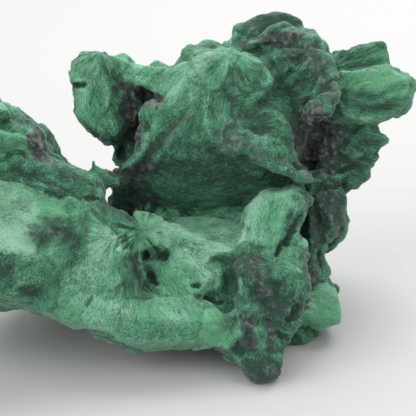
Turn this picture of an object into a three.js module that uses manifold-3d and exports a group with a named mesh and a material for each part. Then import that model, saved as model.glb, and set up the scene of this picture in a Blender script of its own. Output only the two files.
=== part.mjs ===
// A fibrous malachite specimen, grown as one piece: a thick arm on the left runs into a tall, folded
// head on the right, with a deep cup in the head's face and ribbed lobes round its rim.
//
// Every form is placed in the specimen's face frame, in millimetres: x to the right, y into the
// depth (away from the face), z up the face. The finished stone leans back by LEAN and is cut
// level where its feet rest, so its own frame has +Z up and z = 0 at the surface it stands on.

import * as THREE from "three";
import { ImprovedNoise } from "three/addons/math/ImprovedNoise.js";
import { mergeVertices } from "three/addons/utils/BufferGeometryUtils.js";
import Module from "manifold-3d";

const LEAN = THREE.MathUtils.degToRad(22); // how far the face leans back from upright
const SURFACE = -26.9; // height of the resting surface, measured upright from the face frame's origin
const SKIN_WAVE = 7; // length of the waves that roughen every form
const SKIN_DEPTH = 0.55; // how far those waves lift or sink the skin

const wasm = await Module();
wasm.setup();
const noise = new ImprovedNoise();

const at = (x, y, z) => new THREE.Vector3(x, y, z);

// Two octaves of smooth noise at a point, from about -1 to 1.
function waves(p, length) {
  const coarse = noise.noise(p.x / length, p.y / length, p.z / length);
  const fine = noise.noise((2.3 * p.x) / length, (2.3 * p.y) / length, (2.3 * p.z) / length);
  return coarse + 0.5 * fine;
}

// Turns a geometry's positions into a closed solid.
function solid(geometry) {
  geometry.deleteAttribute("normal");
  geometry.deleteAttribute("uv");
  const merged = mergeVertices(geometry, 1e-4);
  const made = new wasm.Manifold(
    new wasm.Mesh({
      numProp: 3,
      vertProperties: new Float32Array(merged.attributes.position.array),
      triVerts: new Uint32Array(merged.index.array),
    }),
  );
  return made;
}

// The surface of a solid as a geometry.
function geometryOf(made) {
  const { vertProperties, triVerts } = made.getMesh();
  const geometry = new THREE.BufferGeometry();
  geometry.setAttribute("position", new THREE.Float32BufferAttribute(vertProperties, 3));
  geometry.setIndex([...triVerts]);
  return geometry;
}

// Moves each vertex of a unit sphere to place(direction), then roughens it along that direction.
function shaped(sphere, place, depth = SKIN_DEPTH) {
  sphere.deleteAttribute("normal");
  sphere.deleteAttribute("uv");
  const geometry = mergeVertices(sphere, 1e-4);
  const position = geometry.attributes.position;
  const direction = new THREE.Vector3();
  for (let i = 0; i < position.count; i++) {
    direction.fromBufferAttribute(position, i).normalize();
    const { point, outward } = place(direction);
    point.addScaledVector(outward, depth * waves(point, SKIN_WAVE));
    position.setXYZ(i, point.x, point.y, point.z);
  }
  return solid(geometry);
}

// A rounded lump: radii along x, y and z before it is turned by degrees about z, then y, then x.
function lump(centre, radii, { turn = [0, 0, 0], detail = 2, rough = SKIN_DEPTH, blunt = 1 } = {}) {
  const rotation = new THREE.Euler(...turn.map((t) => THREE.MathUtils.degToRad(t)), "XYZ");
  const place = (n) => {
    const squared = n.clone();
    for (const axis of ["x", "y", "z"])
      squared[axis] = Math.sign(n[axis]) * Math.abs(n[axis]) ** blunt;
    const point = squared.multiply(at(...radii)).applyEuler(rotation).add(centre);
    return { point, outward: n.clone().applyEuler(rotation) };
  };
  return shaped(new THREE.IcosahedronGeometry(1, detail), place, rough);
}

// A limb along a smooth curve. Each stop is [x, y, z, wide, deep]: a point of its middle line, and
// its half-widths across the face and into the depth there.
function limb(stops, { rings = 8, sides = 7, rough = SKIN_DEPTH, blunt = 0.45 } = {}) {
  const line = new THREE.CatmullRomCurve3(stops.map(([x, y, z]) => at(x, y, z)), false, "centripetal");
  const widths = new THREE.CatmullRomCurve3(stops.map(([, , , w, d]) => at(w, d, 0)), false, "centripetal");
  const place = (n) => {
    const t = THREE.MathUtils.clamp((n.y + 1) / 2, 0, 1);
    const middle = line.getPoint(t);
    const along = line.getTangent(t);
    const into = at(0, 1, 0).addScaledVector(along, -along.y).normalize();
    const across = new THREE.Vector3().crossVectors(along, into).normalize();
    const round = Math.hypot(n.x, n.z);
    const swell = round > 1e-6 ? round ** blunt / round : 0;
    const size = widths.getPoint(t);
    const outward = at(0, 0, 0)
      .addScaledVector(across, n.x)
      .addScaledVector(into, n.z)
      .addScaledVector(along, n.y);
    const point = middle
      .addScaledVector(across, n.x * swell * size.x)
      .addScaledVector(into, n.z * swell * size.y);
    return { point, outward };
  };
  return shaped(new THREE.SphereGeometry(1, sides, rings), place, rough);
}

// A pad: a flat-faced lobe with its own outline. The outline is a list of [x, z] points in the face;
// front and back are how far it stands out of the depth y at its middle, and slope tips its face.
function pad(outline, y, front, back, { slope = [0, 0], detail = 2, rough = SKIN_DEPTH, edge = 0.5 } = {}) {
  const curve = new THREE.CatmullRomCurve3(outline.map(([x, z]) => at(x, 0, z)), true, "centripetal");
  const rim = curve.getPoints(outline.length * 6);
  const middle = rim.reduce((sum, p) => sum.add(p), at(0, 0, 0)).divideScalar(rim.length);
  const reach = rim
    .map((p) => ({ angle: Math.atan2(p.z - middle.z, p.x - middle.x), length: p.distanceTo(middle) }))
    .sort((a, b) => a.angle - b.angle);
  const lengthAt = (angle) => {
    const after = reach.findIndex((r) => r.angle > angle);
    const next = reach[after < 0 ? 0 : after];
    const last = reach[(after < 0 ? reach.length : after || reach.length) - 1];
    const turn = 2 * Math.PI;
    const span = (next.angle - last.angle + turn) % turn || 1;
    const share = ((angle - last.angle + turn) % turn) / span;
    return THREE.MathUtils.lerp(last.length, next.length, THREE.MathUtils.clamp(share, 0, 1));
  };
  const place = (n) => {
    const flat = Math.hypot(n.x, n.z);
    const spread = flat > 1e-6 ? (lengthAt(Math.atan2(n.z, n.x)) * flat ** edge) / flat : 0;
    const dx = n.x * spread;
    const dz = n.z * spread;
    const depth = (n.y < 0 ? front : back) * Math.sign(n.y) * Math.abs(n.y) ** edge;
    const point = at(middle.x + dx, y + depth + slope[0] * dx + slope[1] * dz, middle.z + dz);
    return { point, outward: n.clone() };
  };
  return shaped(new THREE.IcosahedronGeometry(1, detail), place, rough);
}

// A slab: a broken plate with straight edges. The middle of its front lies at depth y, and slope
// tips it as it does a pad.
function slab(outline, y, thick, slope = [0, 0]) {
  const corners = outline.map(([x, z]) => new THREE.Vector2(x, z));
  const middle = corners.reduce((sum, p) => sum.add(p), new THREE.Vector2()).divideScalar(corners.length);
  const options = { depth: thick, bevelEnabled: false };
  const geometry = new THREE.ExtrudeGeometry(new THREE.Shape(corners), options);
  const position = geometry.attributes.position;
  for (let i = 0; i < position.count; i++) {
    const [x, z, out] = [position.getX(i), position.getY(i), position.getZ(i)];
    const tip = slope[0] * (x - middle.x) + slope[1] * (z - middle.y);
    position.setXYZ(i, x, y + thick - out + tip, z);
  }
  return solid(geometry);
}

// The head's bulk: the block behind the cup, the swelling belly above it and the mass below.
function headBulk() {
  return [
    lump(at(10, 19, 11), [18, 12, 20], { detail: 1, rough: 1.4 }),
    lump(at(5, 7, 19), [16.5, 12.5, 12.5], { turn: [0, 20, 0] }),
    lump(at(4, 9, -12), [15, 12, 12.4], { detail: 1 }),
    lump(at(-11, 12, 3), [10.6, 8, 9.4], { detail: 1 }),
    lump(at(-13, 13, 18), [8, 6, 9], { detail: 1 }),
  ];
}

// The lobe that hangs out to the upper left, with the shoulder that carries it.
function leftLobe() {
  const outline = [
    [-19.8, 13.4], [-24, 15.8], [-26.6, 17.4], [-27.2, 23.6], [-28.6, 25.6], [-26.2, 30.8],
    [-23.4, 31.6], [-20.4, 31.4], [-18.8, 29.6], [-15.6, 28.6], [-13.6, 23.6], [-14.6, 17.6],
  ];
  return [
    pad(outline, 4, 3, 7, { slope: [0.15, 0], edge: 0.38 }),
    slab([
      [-27.6, 24.4], [-26.4, 28.6], [-24.4, 30.9], [-20.8, 30.8], [-19.2, 28.4], [-20, 24.8], [-18, 19.6],
      [-17.2, 14.6], [-20, 13.4], [-23.2, 15.6], [-26.2, 18.2], [-26.4, 21.6],
    ], 0.4, 5, [0.15, 0.1]),
    limb([[-20, 8, 26.8, 3, 5], [-13.6, 9, 25.8, 3, 6], [-7.6, 9, 25.8, 3.2, 6], [-1, 8, 26.8, 5, 6]]),
    lump(at(-1.6, 6, 30.6), [5.2, 4.4, 3.4], { detail: 1 }),
    lump(at(3.6, 7, 31), [4.6, 5, 3.2], { detail: 1 }),
    lump(at(-15.8, 7, 11.4), [4, 4.4, 3.6], { detail: 1 }),
  ];
}

// The veil that falls from the crown to the left, its two ribs, and the fan beside it.
function crownVeil() {
  const veil = [
    [1.4, 32], [-4.6, 28.4], [-8, 21.6], [-11.6, 15], [-14.4, 10], [-10, 8], [-3, 9], [5, 11],
    [9, 20], [6, 28],
  ];
  const fan = [
    [1.4, 32], [6.4, 31.4], [10.8, 29.4], [13.6, 26], [13.8, 24.8], [10.8, 22.6], [8, 19.6],
    [5.4, 21.5], [3.4, 26],
  ];
  const shoulder = [
    [-1, 30.6], [-8, 27.6], [-9.8, 24], [-9.6, 21.4], [-10.4, 18], [-12.8, 14.6], [-14.8, 10.6],
    [-11, 9.6], [-3, 20],
  ];
  return [
    pad(veil, -0.5, 4.5, 8),
    pad(fan, -2.6, 2, 7, { slope: [0.1, 0.3], edge: 0.35 }),
    pad(shoulder, 1.6, 4.6, 7, { slope: [-0.35, 0.1] }),
    limb([
      [1.2, 1, 31.8, 1.2, 3.6], [-3.6, -1.6, 26, 1.3, 4], [-8.4, -2.6, 19.6, 1.2, 4],
      [-11.8, -1.4, 14.2, 1.2, 4.2], [-14.2, 0, 9.8, 1.3, 4], [-17.8, 3, 7.4, 1.3, 3],
    ], { rings: 10, sides: 5 }),
    limb([[-1, -3.4, 20, 1, 2.6], [-6.6, -4, 14.6, 1.1, 3], [-9.6, -3, 10.4, 1, 3], [-12, -1, 7, 1, 3]],
      { rings: 6, sides: 5 }),
  ];
}

// The lip over the cup, and the sheet that curves from the belly back into it.
function lip() {
  const ridge = [
    [-1, 18.6], [5, 18], [11, 14.4], [16, 11], [20, 7.4], [19.4, 5.6], [14, 7.2], [8, 9.4], [2, 11.4],
    [-2, 14.4],
  ];
  const sheet = [
    [-14.6, 11], [-17, 6], [-15.4, 1], [-8, -1], [2, -1], [11, 1.4], [19.6, 5], [14, 8.6], [7, 12.4],
    [0, 15], [-8, 13],
  ];
  return [
    pad(ridge, -3.6, 3.4, 6, { slope: [0.05, -0.1], rough: 0.9 }),
    limb([[12, -3, 9, 1.6, 4], [17, -3.4, 7.2, 1.4, 4], [21.6, -1.6, 5, 0.9, 3]], { rings: 5, sides: 5 }),
    pad(sheet, 2.4, 3, 6, { slope: [0, -0.85], edge: 0.7 }),
  ];
}

// The lumpy dark crest that runs over the crown and down the right of the belly.
function crest() {
  return [
    limb([
      [7, 7, 33, 2, 4], [13, 4, 34.4, 2.6, 5], [18, 2, 33.4, 3.2, 6], [21.4, 0, 30.4, 3.4, 6],
      [22.8, -1.6, 26.6, 3, 6], [24.4, -2, 23, 2.8, 6], [22, -3.4, 19.8, 2.2, 5], [18.6, -3, 17.4, 1.8, 5],
    ], { rings: 12, rough: 1 }),
    limb([[6.4, 15, 36, 1.8, 4], [10.4, 15, 37.4, 2.6, 5], [15.2, 15, 38.2, 3.4, 6], [18.8, 15, 37.2, 3.2, 5]],
      { rings: 8 }),
    lump(at(14.6, 13, 30.8), [11.4, 10, 8.4], { detail: 1, rough: 1 }),
    slab([
      [5.3, 34.6], [5.8, 37], [8.2, 38.1], [10.7, 39.1], [13.4, 40.2], [15.5, 40.4], [17.5, 39.6], [19.2, 38],
      [19.8, 36], [12.4, 34.6],
    ], 8, 5, [0.1, 0.5]),
    lump(at(16, 4, 27.6), [6.4, 6.4, 6.4], { detail: 1, rough: 1 }),
    lump(at(20.4, 4, 22), [4.4, 6, 5.6], { detail: 1, rough: 1 }),
  ];
}

// The ribbed block that juts out to the upper right, in two broken steps.
function rightBlock() {
  const outline = [
    [20.5, 30], [27.2, 31.9], [30.3, 33.2], [33.6, 34], [36.5, 34.1], [37.4, 32.1], [38, 30], [39.6, 28],
    [41.4, 26.8], [41.9, 24.7], [41.5, 21.8], [39.1, 19.4], [35.8, 17.6], [28.2, 17.4], [20.5, 18.6],
  ];
  return [
    pad(outline, 9, 3, 8, { slope: [-0.05, 0.3], edge: 0.25 }),
    slab([[27, 32.4], [32, 33.6], [36.2, 34.2], [37.4, 31], [37.2, 29], [31.8, 28.6], [26.6, 29]],
      6.8, 5, [0, 0.3]),
    slab([
      [26.2, 28.2], [36.6, 28.9], [39.4, 27.3], [41.1, 25.7], [41.2, 22], [38.9, 19.4], [35.2, 17.6], [31.6, 16.8],
      [27.2, 18.2], [25.2, 22.2],
    ], 2.7, 5, [0.12, 0]),
  ];
}

// The broken fringe under the block, the waist below it and a small lobe.
function rightEdge() {
  const fringe = [
    [23.2, 17.2], [29.4, 17.8], [35.2, 16.8], [36.3, 15.3], [37.6, 13.7], [36.1, 11.2], [34.6, 8.5],
    [33.8, 6.6], [32.1, 5.2], [28.8, 3.2], [24.2, 2.7], [21.5, 7.9],
  ];
  const waist = [
    [20, 4], [25, 4.4], [28, 2], [28.2, -0.8], [29.2, -3.1], [28.2, -6], [25.9, -8], [22.6, -9.9],
    [17, -10], [16, -2],
  ];
  const lobe = [[22, -11], [24.6, -13.9], [25, -15.3], [23, -17], [19, -17], [17, -13]];
  return [
    pad(fringe, 10, 3.6, 8, { slope: [-0.1, 0] }),
    pad(waist, 8, 2.6, 8, { detail: 1, edge: 0.35 }),
    slab([[21, 3.6], [23.8, 3.8], [26, 1.2], [26.6, -2.2], [25, -4.8], [22.6, -6.6], [20.4, -7.4]],
      2.8, 6, [0.5, 0.15]),
    pad(lobe, 4, 3, 6, { detail: 1, edge: 0.35 }),
  ];
}

// The flat flap low on the right, the front bulge and the foot below it.
function lowerRight() {
  const flap = [
    [18, -17.6], [23.4, -16], [26.2, -16.2], [26.8, -19.4], [26.6, -23], [24.6, -23.7], [22, -25.8],
    [19.8, -28], [16.4, -30], [12, -29], [13, -21.4],
  ];
  const bulge = [
    [4.6, -8.4], [10.4, -9.4], [14.8, -10.6], [17.8, -10], [19.4, -12], [20, -15.8], [18.8, -19.6],
    [17.4, -22.6], [16, -26.2], [14.6, -27.2], [8.2, -27.2], [5.4, -23.4], [4.2, -17.6], [3.2, -10.8],
  ];
  return [
    pad(flap, 4.4, 2.8, 7, { slope: [0, -0.1] }),
    slab([
      [21.2, -16.2], [26, -15.6], [26.8, -20.4], [26.5, -23.3], [24.5, -22.9], [22.3, -23.1], [18.4, -22.6],
      [18.6, -18],
    ], 0.4, 5, [0.05, 0]),
    slab([
      [-2.9, -23.5], [1.3, -26.9], [3.2, -27.7], [5.7, -29.6], [7.6, -31.9], [9.2, -32.9], [11.8, -32.1],
      [11.5, -24.8], [4.8, -20], [-1.9, -20],
    ], -12.2, 6),
    lump(at(10, -2.6, -16), [10, 11.4, 11.4], { detail: 1, rough: 1.4 }),
    pad(bulge, -8, 5.4, 8, { slope: [0.15, 0.1], rough: 1.3, edge: 0.4 }),
    limb([[8.4, -7, -22, 5.5, 6], [10, -9.6, -27.4, 5, 5], [11.2, -12, -34, 4.4, 4.4]], { rough: 1 }),
  ];
}

// The thick arm on the left and the rim that carries it to the foot.
function arm() {
  const side = [
    [-62, -4], [-60, 6], [-54, 14], [-47, 20.4], [-40.4, 21.2], [-35.8, 19.2], [-32.6, 16.7], [-31.2, 13.5],
    [-30.2, 11], [-27.6, 8.9], [-24, 7.2], [-20.2, 5], [-19.4, -2.3], [-15, -8], [-12, -16], [-19.8, -24.5],
    [-27.6, -21.8], [-35.4, -19.4], [-46, -19.4], [-54, -17], [-60, -12],
  ];
  return [
    pad(side, -9, 12, 12, { detail: 3, edge: 0.5, slope: [0.15, 0] }),
    lump(at(-43, -15, 6), [14, 9, 10], { turn: [0, 20, 0], rough: 1.2 }),
    lump(at(-40, -16, -10), [16, 9, 8.6], { turn: [0, -8, 0], rough: 1.2 }),
    lump(at(-21, -9, -9), [9, 9, 10], { detail: 1 }),
    lump(at(-34, 7, -6), [15, 15, 11], { detail: 1 }),
    limb([
      [-27.6, -12, -14.6, 7, 8], [-20.6, -11, -18.6, 6.6, 8], [-13.6, -10, -21.6, 6.2, 8], [-3.6, -9, -22.2, 6, 8],
      [5.4, -8, -22.6, 6, 8],
    ], { rings: 8, sides: 7 }),
    limb([[-24, -4, 7, 1.4, 1.6], [-21.2, -3, 7, 1.4, 1.6], [-19.2, -1, 6, 1.6, 2], [-15, 3, 5.8, 1.4, 2]],
      { rings: 6, sides: 5, rough: 0.2 }),
    limb([[-22.8, -4, 6, 1, 1.2], [-22.8, -4, 8, 1, 1], [-22.6, -4, 10, 0.8, 0.9]],
      { rings: 4, sides: 5, rough: 0.1 }),
  ];
}

// The pale ledge in front of the cup and the apron that hangs from it.
function apron() {
  const hanging = [
    [-15.4, -3.8], [-9.6, -2.6], [-3.6, -4], [0, -6.8], [1.6, -10.8], [2.8, -14.8], [0.8, -16.6],
    [-1.8, -17.6], [-3.6, -19.6], [-6.6, -19.6], [-10, -16.8], [-12.4, -12.8], [-14.6, -8.4],
  ];
  return [
    pad(hanging, -5, 3, 9, { slope: [0, 0.2], edge: 0.36 }),
    slab([
      [-3.5, -6.4], [-1, -8.5], [0.6, -9.6], [1.8, -12.3], [2.8, -14.7], [2.8, -15.4], [1.5, -16.4],
      [-1.5, -16.5], [-2.5, -17.3], [-3.7, -18.6], [-5, -19], [-7.4, -17.8], [-9.1, -16.3], [-9.3, -13.9],
      [-8.3, -11], [-6.4, -8.5],
    ], -8.7, 3, [0.05, 0.2]),
    slab([
      [-16.4, -6.8], [-14.1, -7.6], [-12.6, -10.3], [-11.8, -13.3], [-12.4, -15.2], [-13.7, -13.7],
      [-15.6, -10.3],
    ], -13, 7, [0.9, 0.2]),
    slab([[-15.8, -2.7], [-13.4, -1.1], [-11.1, -1.5], [-11.3, -3.1], [-12, -4.3], [-14, -3.8]], -7.4, 5, [0.3, 0.2]),
    limb([[-18, -3, -5, 1.6, 5], [-12, -4, -3.6, 1.8, 3.6], [-5.6, -4, -4.4, 1.8, 3.6], [-1, -4.4, -6.6, 1.6, 3.6],
      [2, -5.4, -9.2, 1.4, 3.4], [5, -5, -9.2, 1.2, 3.4]], { rings: 9, sides: 6 }),
  ];
}

// The bright blade that leans over the right of the cup, split down its right side.
function blade() {
  return [
    slab([
      [10.5, 3.1], [15.5, 3.4], [18.8, 4.3], [20.1, 2], [18.6, -0.6], [16.8, -2.7], [14.4, -7.2], [13.4, -10],
      [11, -13], [7.2, -12], [4.8, -8.4], [6, -6.4], [7.7, -0.4],
    ], -7.4, 5.6, [0.02, 0.42]),
    slab([
      [20.3, 2.4], [20.9, 1], [19.7, -2], [18.4, -4.5], [16.6, -8], [14.1, -10.8], [12.7, -11], [15.2, -7],
      [17, -3.5], [19, -0.8],
    ], -6.4, 4, [0.05, 0.36]),
    slab([[12.7, -10.8], [15.4, -8.2], [19.4, -5.5], [19.9, -8.8], [18.7, -12.7], [15.2, -13.3]],
      -10, 6, [0.2, 0.5]),
  ];
}

// The unseen side: swellings, ridges, and the masses on which the stone rests at the back.
function back() {
  return [
    lump(at(-1, 26, 16), [12, 8, 10], { turn: [0, 25, 0], detail: 1, rough: 1 }),
    lump(at(20, 25, 9), [11, 9, 11], { detail: 1, rough: 1.4 }),
    lump(at(17, 17, -14), [9, 9, 9], { turn: [20, 0, 0], detail: 1 }),
    lump(at(-5, 19, -12), [11, 9, 9.6], { turn: [10, 0, 10], detail: 1 }),
    lump(at(-31, 18, -12), [11, 10, 10], { turn: [0, 10, 0], detail: 1, rough: 1.2 }),
    limb([[24, 18, 24, 5, 6], [31, 22, 18, 5, 5], [32, 20, 10, 4, 4]]),
    limb([[-22, 9, 27, 3, 4], [-18, 18, 20, 4, 4], [-8, 26, 10, 5, 5], [4, 32, 3, 4, 4], [14, 32, -2, 3, 4]]),
  ];
}

// What is hollowed out of the head before its front pieces stand in it.
function headHollows() {
  return [
    lump(at(1, -8, 0), [20, 14, 8.5], { turn: [0, -4, 0] }),
    lump(at(-14, -2, 19), [5.5, 6, 4.5], { turn: [0, 30, 0], detail: 1 }),
    lump(at(10, 38, 20), [10, 9, 6], { turn: [0, -30, 0], detail: 1 }),
    lump(at(6, 34, -8), [7, 8, 6], { detail: 1 }),
    lump(at(-14, 28, 4), [7, 7, 8], { detail: 1 }),
  ];
}

// Pits in the finished face.
function facePits() {
  return [
    lump(at(20.6, -3, 13.4), [4.6, 8, 5.6], { detail: 1 }),
    lump(at(-31, -25, -5.6), [4.5, 5, 3.6], { detail: 1 }),
    lump(at(3.6, -14, -15.4), [2.4, 8, 6], { detail: 1 }),
    lump(at(-11.6, -9, -9.8), [2.4, 3, 1.4], { detail: 1 }),
    lump(at(-17.4, 3.4, 11.4), [1.1, 3, 1.9], { detail: 1 }),
    lump(at(-20.1, 8, 3.4), [0.95, 30, 1.4], { turn: [0.7, 0, 4.1], detail: 1, rough: 0.2 }),
  ];
}

const union = (solids) => wasm.Manifold.union(solids);

// The largest body of a solid, without loose crumbs or sealed bubbles.
const largest = (made) => made.decompose().reduce((a, b) => (b.volume() > a.volume() ? b : a));

// All forms joined, with the hollows cut in the order in which they lie, leaned back and cut level.
function grow() {
  const bulk = union([
    ...headBulk(), ...leftLobe(), ...rightBlock(), ...rightEdge(), ...lowerRight(), ...back(),
  ]);
  const hollowed = bulk.subtract(union(headHollows()));
  const faced = union([
    hollowed, ...crownVeil(), ...lip(), ...crest(), ...arm(), ...apron(), ...blade(),
  ]);
  return largest(faced.subtract(union(facePits())));
}

// The finished stone in its own frame: leaned back, cut level, and centred over its base.
function specimenGeometry() {
  const leaned = geometryOf(grow()).applyMatrix4(new THREE.Matrix4().makeRotationX(-LEAN));
  const ground = new THREE.BoxGeometry(400, 400, 100).translate(0, 0, SURFACE - 50);
  const stone = geometryOf(solid(leaned).subtract(solid(ground)));
  stone.computeBoundingBox();
  const middle = stone.boundingBox.getCenter(new THREE.Vector3());
  return stone.translate(-middle.x, -middle.y, -stone.boundingBox.min.z);
}

const specimen = new THREE.Group();
const malachite = new THREE.Mesh(
  specimenGeometry(),
  new THREE.MeshStandardMaterial({ color: 0x3b8560, roughness: 0.75, metalness: 0 }),
);
malachite.name = "malachite";
specimen.add(malachite);

export default specimen;
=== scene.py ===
import logging
import math
from dataclasses import dataclass
from enum import Enum, IntEnum
from typing import Any, Sequence

import bmesh
import bpy
import numpy as np
from mathutils import Euler, Matrix, Vector


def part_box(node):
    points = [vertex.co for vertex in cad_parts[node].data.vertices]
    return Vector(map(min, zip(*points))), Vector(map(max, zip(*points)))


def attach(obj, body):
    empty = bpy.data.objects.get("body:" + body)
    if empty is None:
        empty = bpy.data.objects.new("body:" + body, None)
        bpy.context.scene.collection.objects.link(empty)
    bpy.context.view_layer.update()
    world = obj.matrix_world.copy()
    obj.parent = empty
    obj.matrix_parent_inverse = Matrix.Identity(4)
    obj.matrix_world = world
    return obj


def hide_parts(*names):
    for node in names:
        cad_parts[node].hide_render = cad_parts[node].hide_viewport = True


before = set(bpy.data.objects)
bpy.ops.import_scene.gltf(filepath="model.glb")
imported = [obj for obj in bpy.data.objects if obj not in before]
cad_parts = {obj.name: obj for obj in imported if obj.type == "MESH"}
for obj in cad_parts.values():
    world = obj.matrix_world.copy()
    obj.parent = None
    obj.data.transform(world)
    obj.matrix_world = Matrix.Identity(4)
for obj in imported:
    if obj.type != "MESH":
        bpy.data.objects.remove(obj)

log = logging.getLogger("malachite")

MM = 0.001  # metres in a millimetre
LEAN = math.radians(22.0)  # how far the stone's face leans back
EYE = 277.3  # how far in front of the face the eye is, in mm
FAR = 99.0  # a gap, in mm, wider than any that is kept

Colour = tuple[float, float, float, float]
Triple = tuple[float, float, float]
Pair = tuple[float, float]


class Layer(Enum):
    """What a mesh stores at each point for the finish, by attribute name."""

    WEAVE = "weave"
    RAY = "ray"
    CRUST = "crust"
    # Painted form light: painted highlight where the surface bulges, painted shade where it dips.
    PAINTED_FORM_LIGHT = "crest"
    # Lightness: the stone's own tone together with painted light and painted shade.
    LIGHTNESS = "tint"


class Seed(IntEnum):
    """Sets one use of chance apart from another."""

    BUNDLES = 3
    FOLDS = 5
    GRAIN = 11
    EDGES = 23
    RIMS = 29
    BACK = 41
    SPLINTERS = 41


class Face:
    """The stone's own face frame in mm: x to the right, depth into the stone, rise up the face."""

    MIDDLE = np.array([0.5971, 0.4213, 0.4398])  # its origin, as shares of the solid's box

    def __init__(self, low: Vector, high: Vector) -> None:
        """Places the frame in the stone's box.

        Args:
            low: lowest corner of the solid, in metres.
            high: highest corner of the solid, in metres.
        """
        self.low = np.array(low) / MM
        self.origin = self.low + (np.array(high) / MM - self.low) * self.MIDDLE
        sin, cos = math.sin(LEAN), math.cos(LEAN)
        self.turn = np.array([[1, 0, 0], [0, cos, -sin], [0, sin, cos]])

    def inward(self, points: np.ndarray) -> np.ndarray:
        """Returns points of the row frame, in mm, as [x, depth, rise]."""
        return (points - self.origin) @ self.turn.T

    def outward(self, points: np.ndarray) -> np.ndarray:
        """Returns [x, depth, rise] points as points of the row frame, in mm."""
        return np.asarray(points, float) @ self.turn + self.origin

    def seen(self, points: np.ndarray) -> np.ndarray:
        """Returns where face-frame points appear on the face's plane, as [x, rise]."""
        shrink = 1.0 / (1.0 + points[:, 1] / EYE)
        return points[:, [0, 2]] * shrink[:, None]


class Noise:
    """Repeatable gradient noise and cell noise over arrays of points."""

    SIZE = 256  # entries in each table
    STRETCH = 1.6  # brings the noise to about -1 to 1
    FINER = 2.03  # how much finer each octave is
    APART = 7.1  # how far each octave is shifted

    def __init__(self, seed: int) -> None:
        """Shuffles the tables that the noise is read from.

        Args:
            seed: sets the shuffle.
        """
        rng = np.random.default_rng(seed)
        table = rng.permutation(self.SIZE)
        self.table = np.concatenate([table, table])
        slopes = rng.normal(size=(self.SIZE, 3))
        self.slopes = slopes / np.linalg.norm(slopes, axis=1, keepdims=True)
        self.places = rng.random((self.SIZE, 3))

    def _hash(self, cell: np.ndarray) -> np.ndarray:
        """Returns a number from 0 to 255 for each whole-numbered cell."""
        x, y, z = (cell & (self.SIZE - 1)).T
        return self.table[self.table[self.table[x] + y] + z]

    def gradient(self, points: np.ndarray) -> np.ndarray:
        """Reads smooth noise with features about 1 unit wide.

        Args:
            points: where it is read.

        Returns:
            A value between about -1 and 1 for each point.
        """
        cell = np.floor(points).astype(np.int64)
        part = points - cell
        ease = part * part * part * (part * (part * 6 - 15) + 10)
        total = np.zeros(len(points))
        for corner in np.ndindex(2, 2, 2):
            offset = np.array(corner)
            slope = self.slopes[self._hash(cell + offset)]
            weight = np.prod(np.where(offset == 1, ease, 1 - ease), axis=1)
            total += weight * np.einsum("ij,ij->i", slope, part - offset)
        return total * self.STRETCH

    def fractal(self, points: np.ndarray, octaves: int, gain: float = 0.5) -> np.ndarray:
        """Reads noise summed over octaves.

        Args:
            points: where it is read.
            octaves: how many are summed.
            gain: how much weaker each octave is than the last.

        Returns:
            A value for each point.
        """
        total, size = np.zeros(len(points)), 1.0
        for octave in range(octaves):
            total += size * self.gradient(points * self.FINER**octave + self.APART * octave)
            size *= gain
        return total

    def cells(self, points: np.ndarray) -> np.ndarray:
        """Measures how near each point is to one of a scatter of centres.

        Args:
            points: where it is read.

        Returns:
            The distance to the nearest centre, for each point.
        """
        cell = np.floor(points).astype(np.int64)
        near = np.full(len(points), FAR)
        for step in np.ndindex(3, 3, 3):
            other = cell + np.array(step) - 1
            centre = other + self.places[self._hash(other)]
            near = np.minimum(near, np.linalg.norm(points - centre, axis=1))
        return near


def smoothstep(low: float, high: float, value: np.ndarray) -> np.ndarray:
    """Returns 0 below low, 1 above high and a smooth rise between."""
    share = np.clip((value - low) / (high - low), 0.0, 1.0)
    return share * share * (3 - 2 * share)


def terraced(value: np.ndarray, steps: float, pull: float = 0.85) -> np.ndarray:
    """Returns values drawn towards a number of even steps per unit."""
    return value - pull * np.sin(math.tau * steps * value) / (math.tau * steps)


def unit(vectors: np.ndarray) -> np.ndarray:
    """Returns vectors at length 1."""
    return vectors / np.maximum(np.linalg.norm(vectors, axis=-1, keepdims=True), 1e-9)


def dots(first: np.ndarray, second: np.ndarray) -> np.ndarray:
    """Returns the dot product of each pair of vectors."""
    return np.einsum("ij,ij->i", first, second)


@dataclass(frozen=True)
class Wave:
    """Noise of one size.

    Attributes:
        height: its height, in mm, or its strength.
        size: how wide its features are.
        octaves: how many octaves it has.
        steps: how many terraces per unit it is drawn to, or 0 for none.
        shift: sets it apart from other waves of the same noise.
        gain: how much weaker each octave is than the last.
    """

    height: float
    size: float
    octaves: int = 1
    steps: float = 0.0
    shift: float = 0.0
    gain: float = 0.5

    def read(self, noise: Noise, points: np.ndarray) -> np.ndarray:
        """Returns the wave at each point, before it is given its height."""
        value = noise.fractal(points / self.size + self.shift, self.octaves, self.gain)
        return terraced(value, self.steps) if self.steps else value


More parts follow.
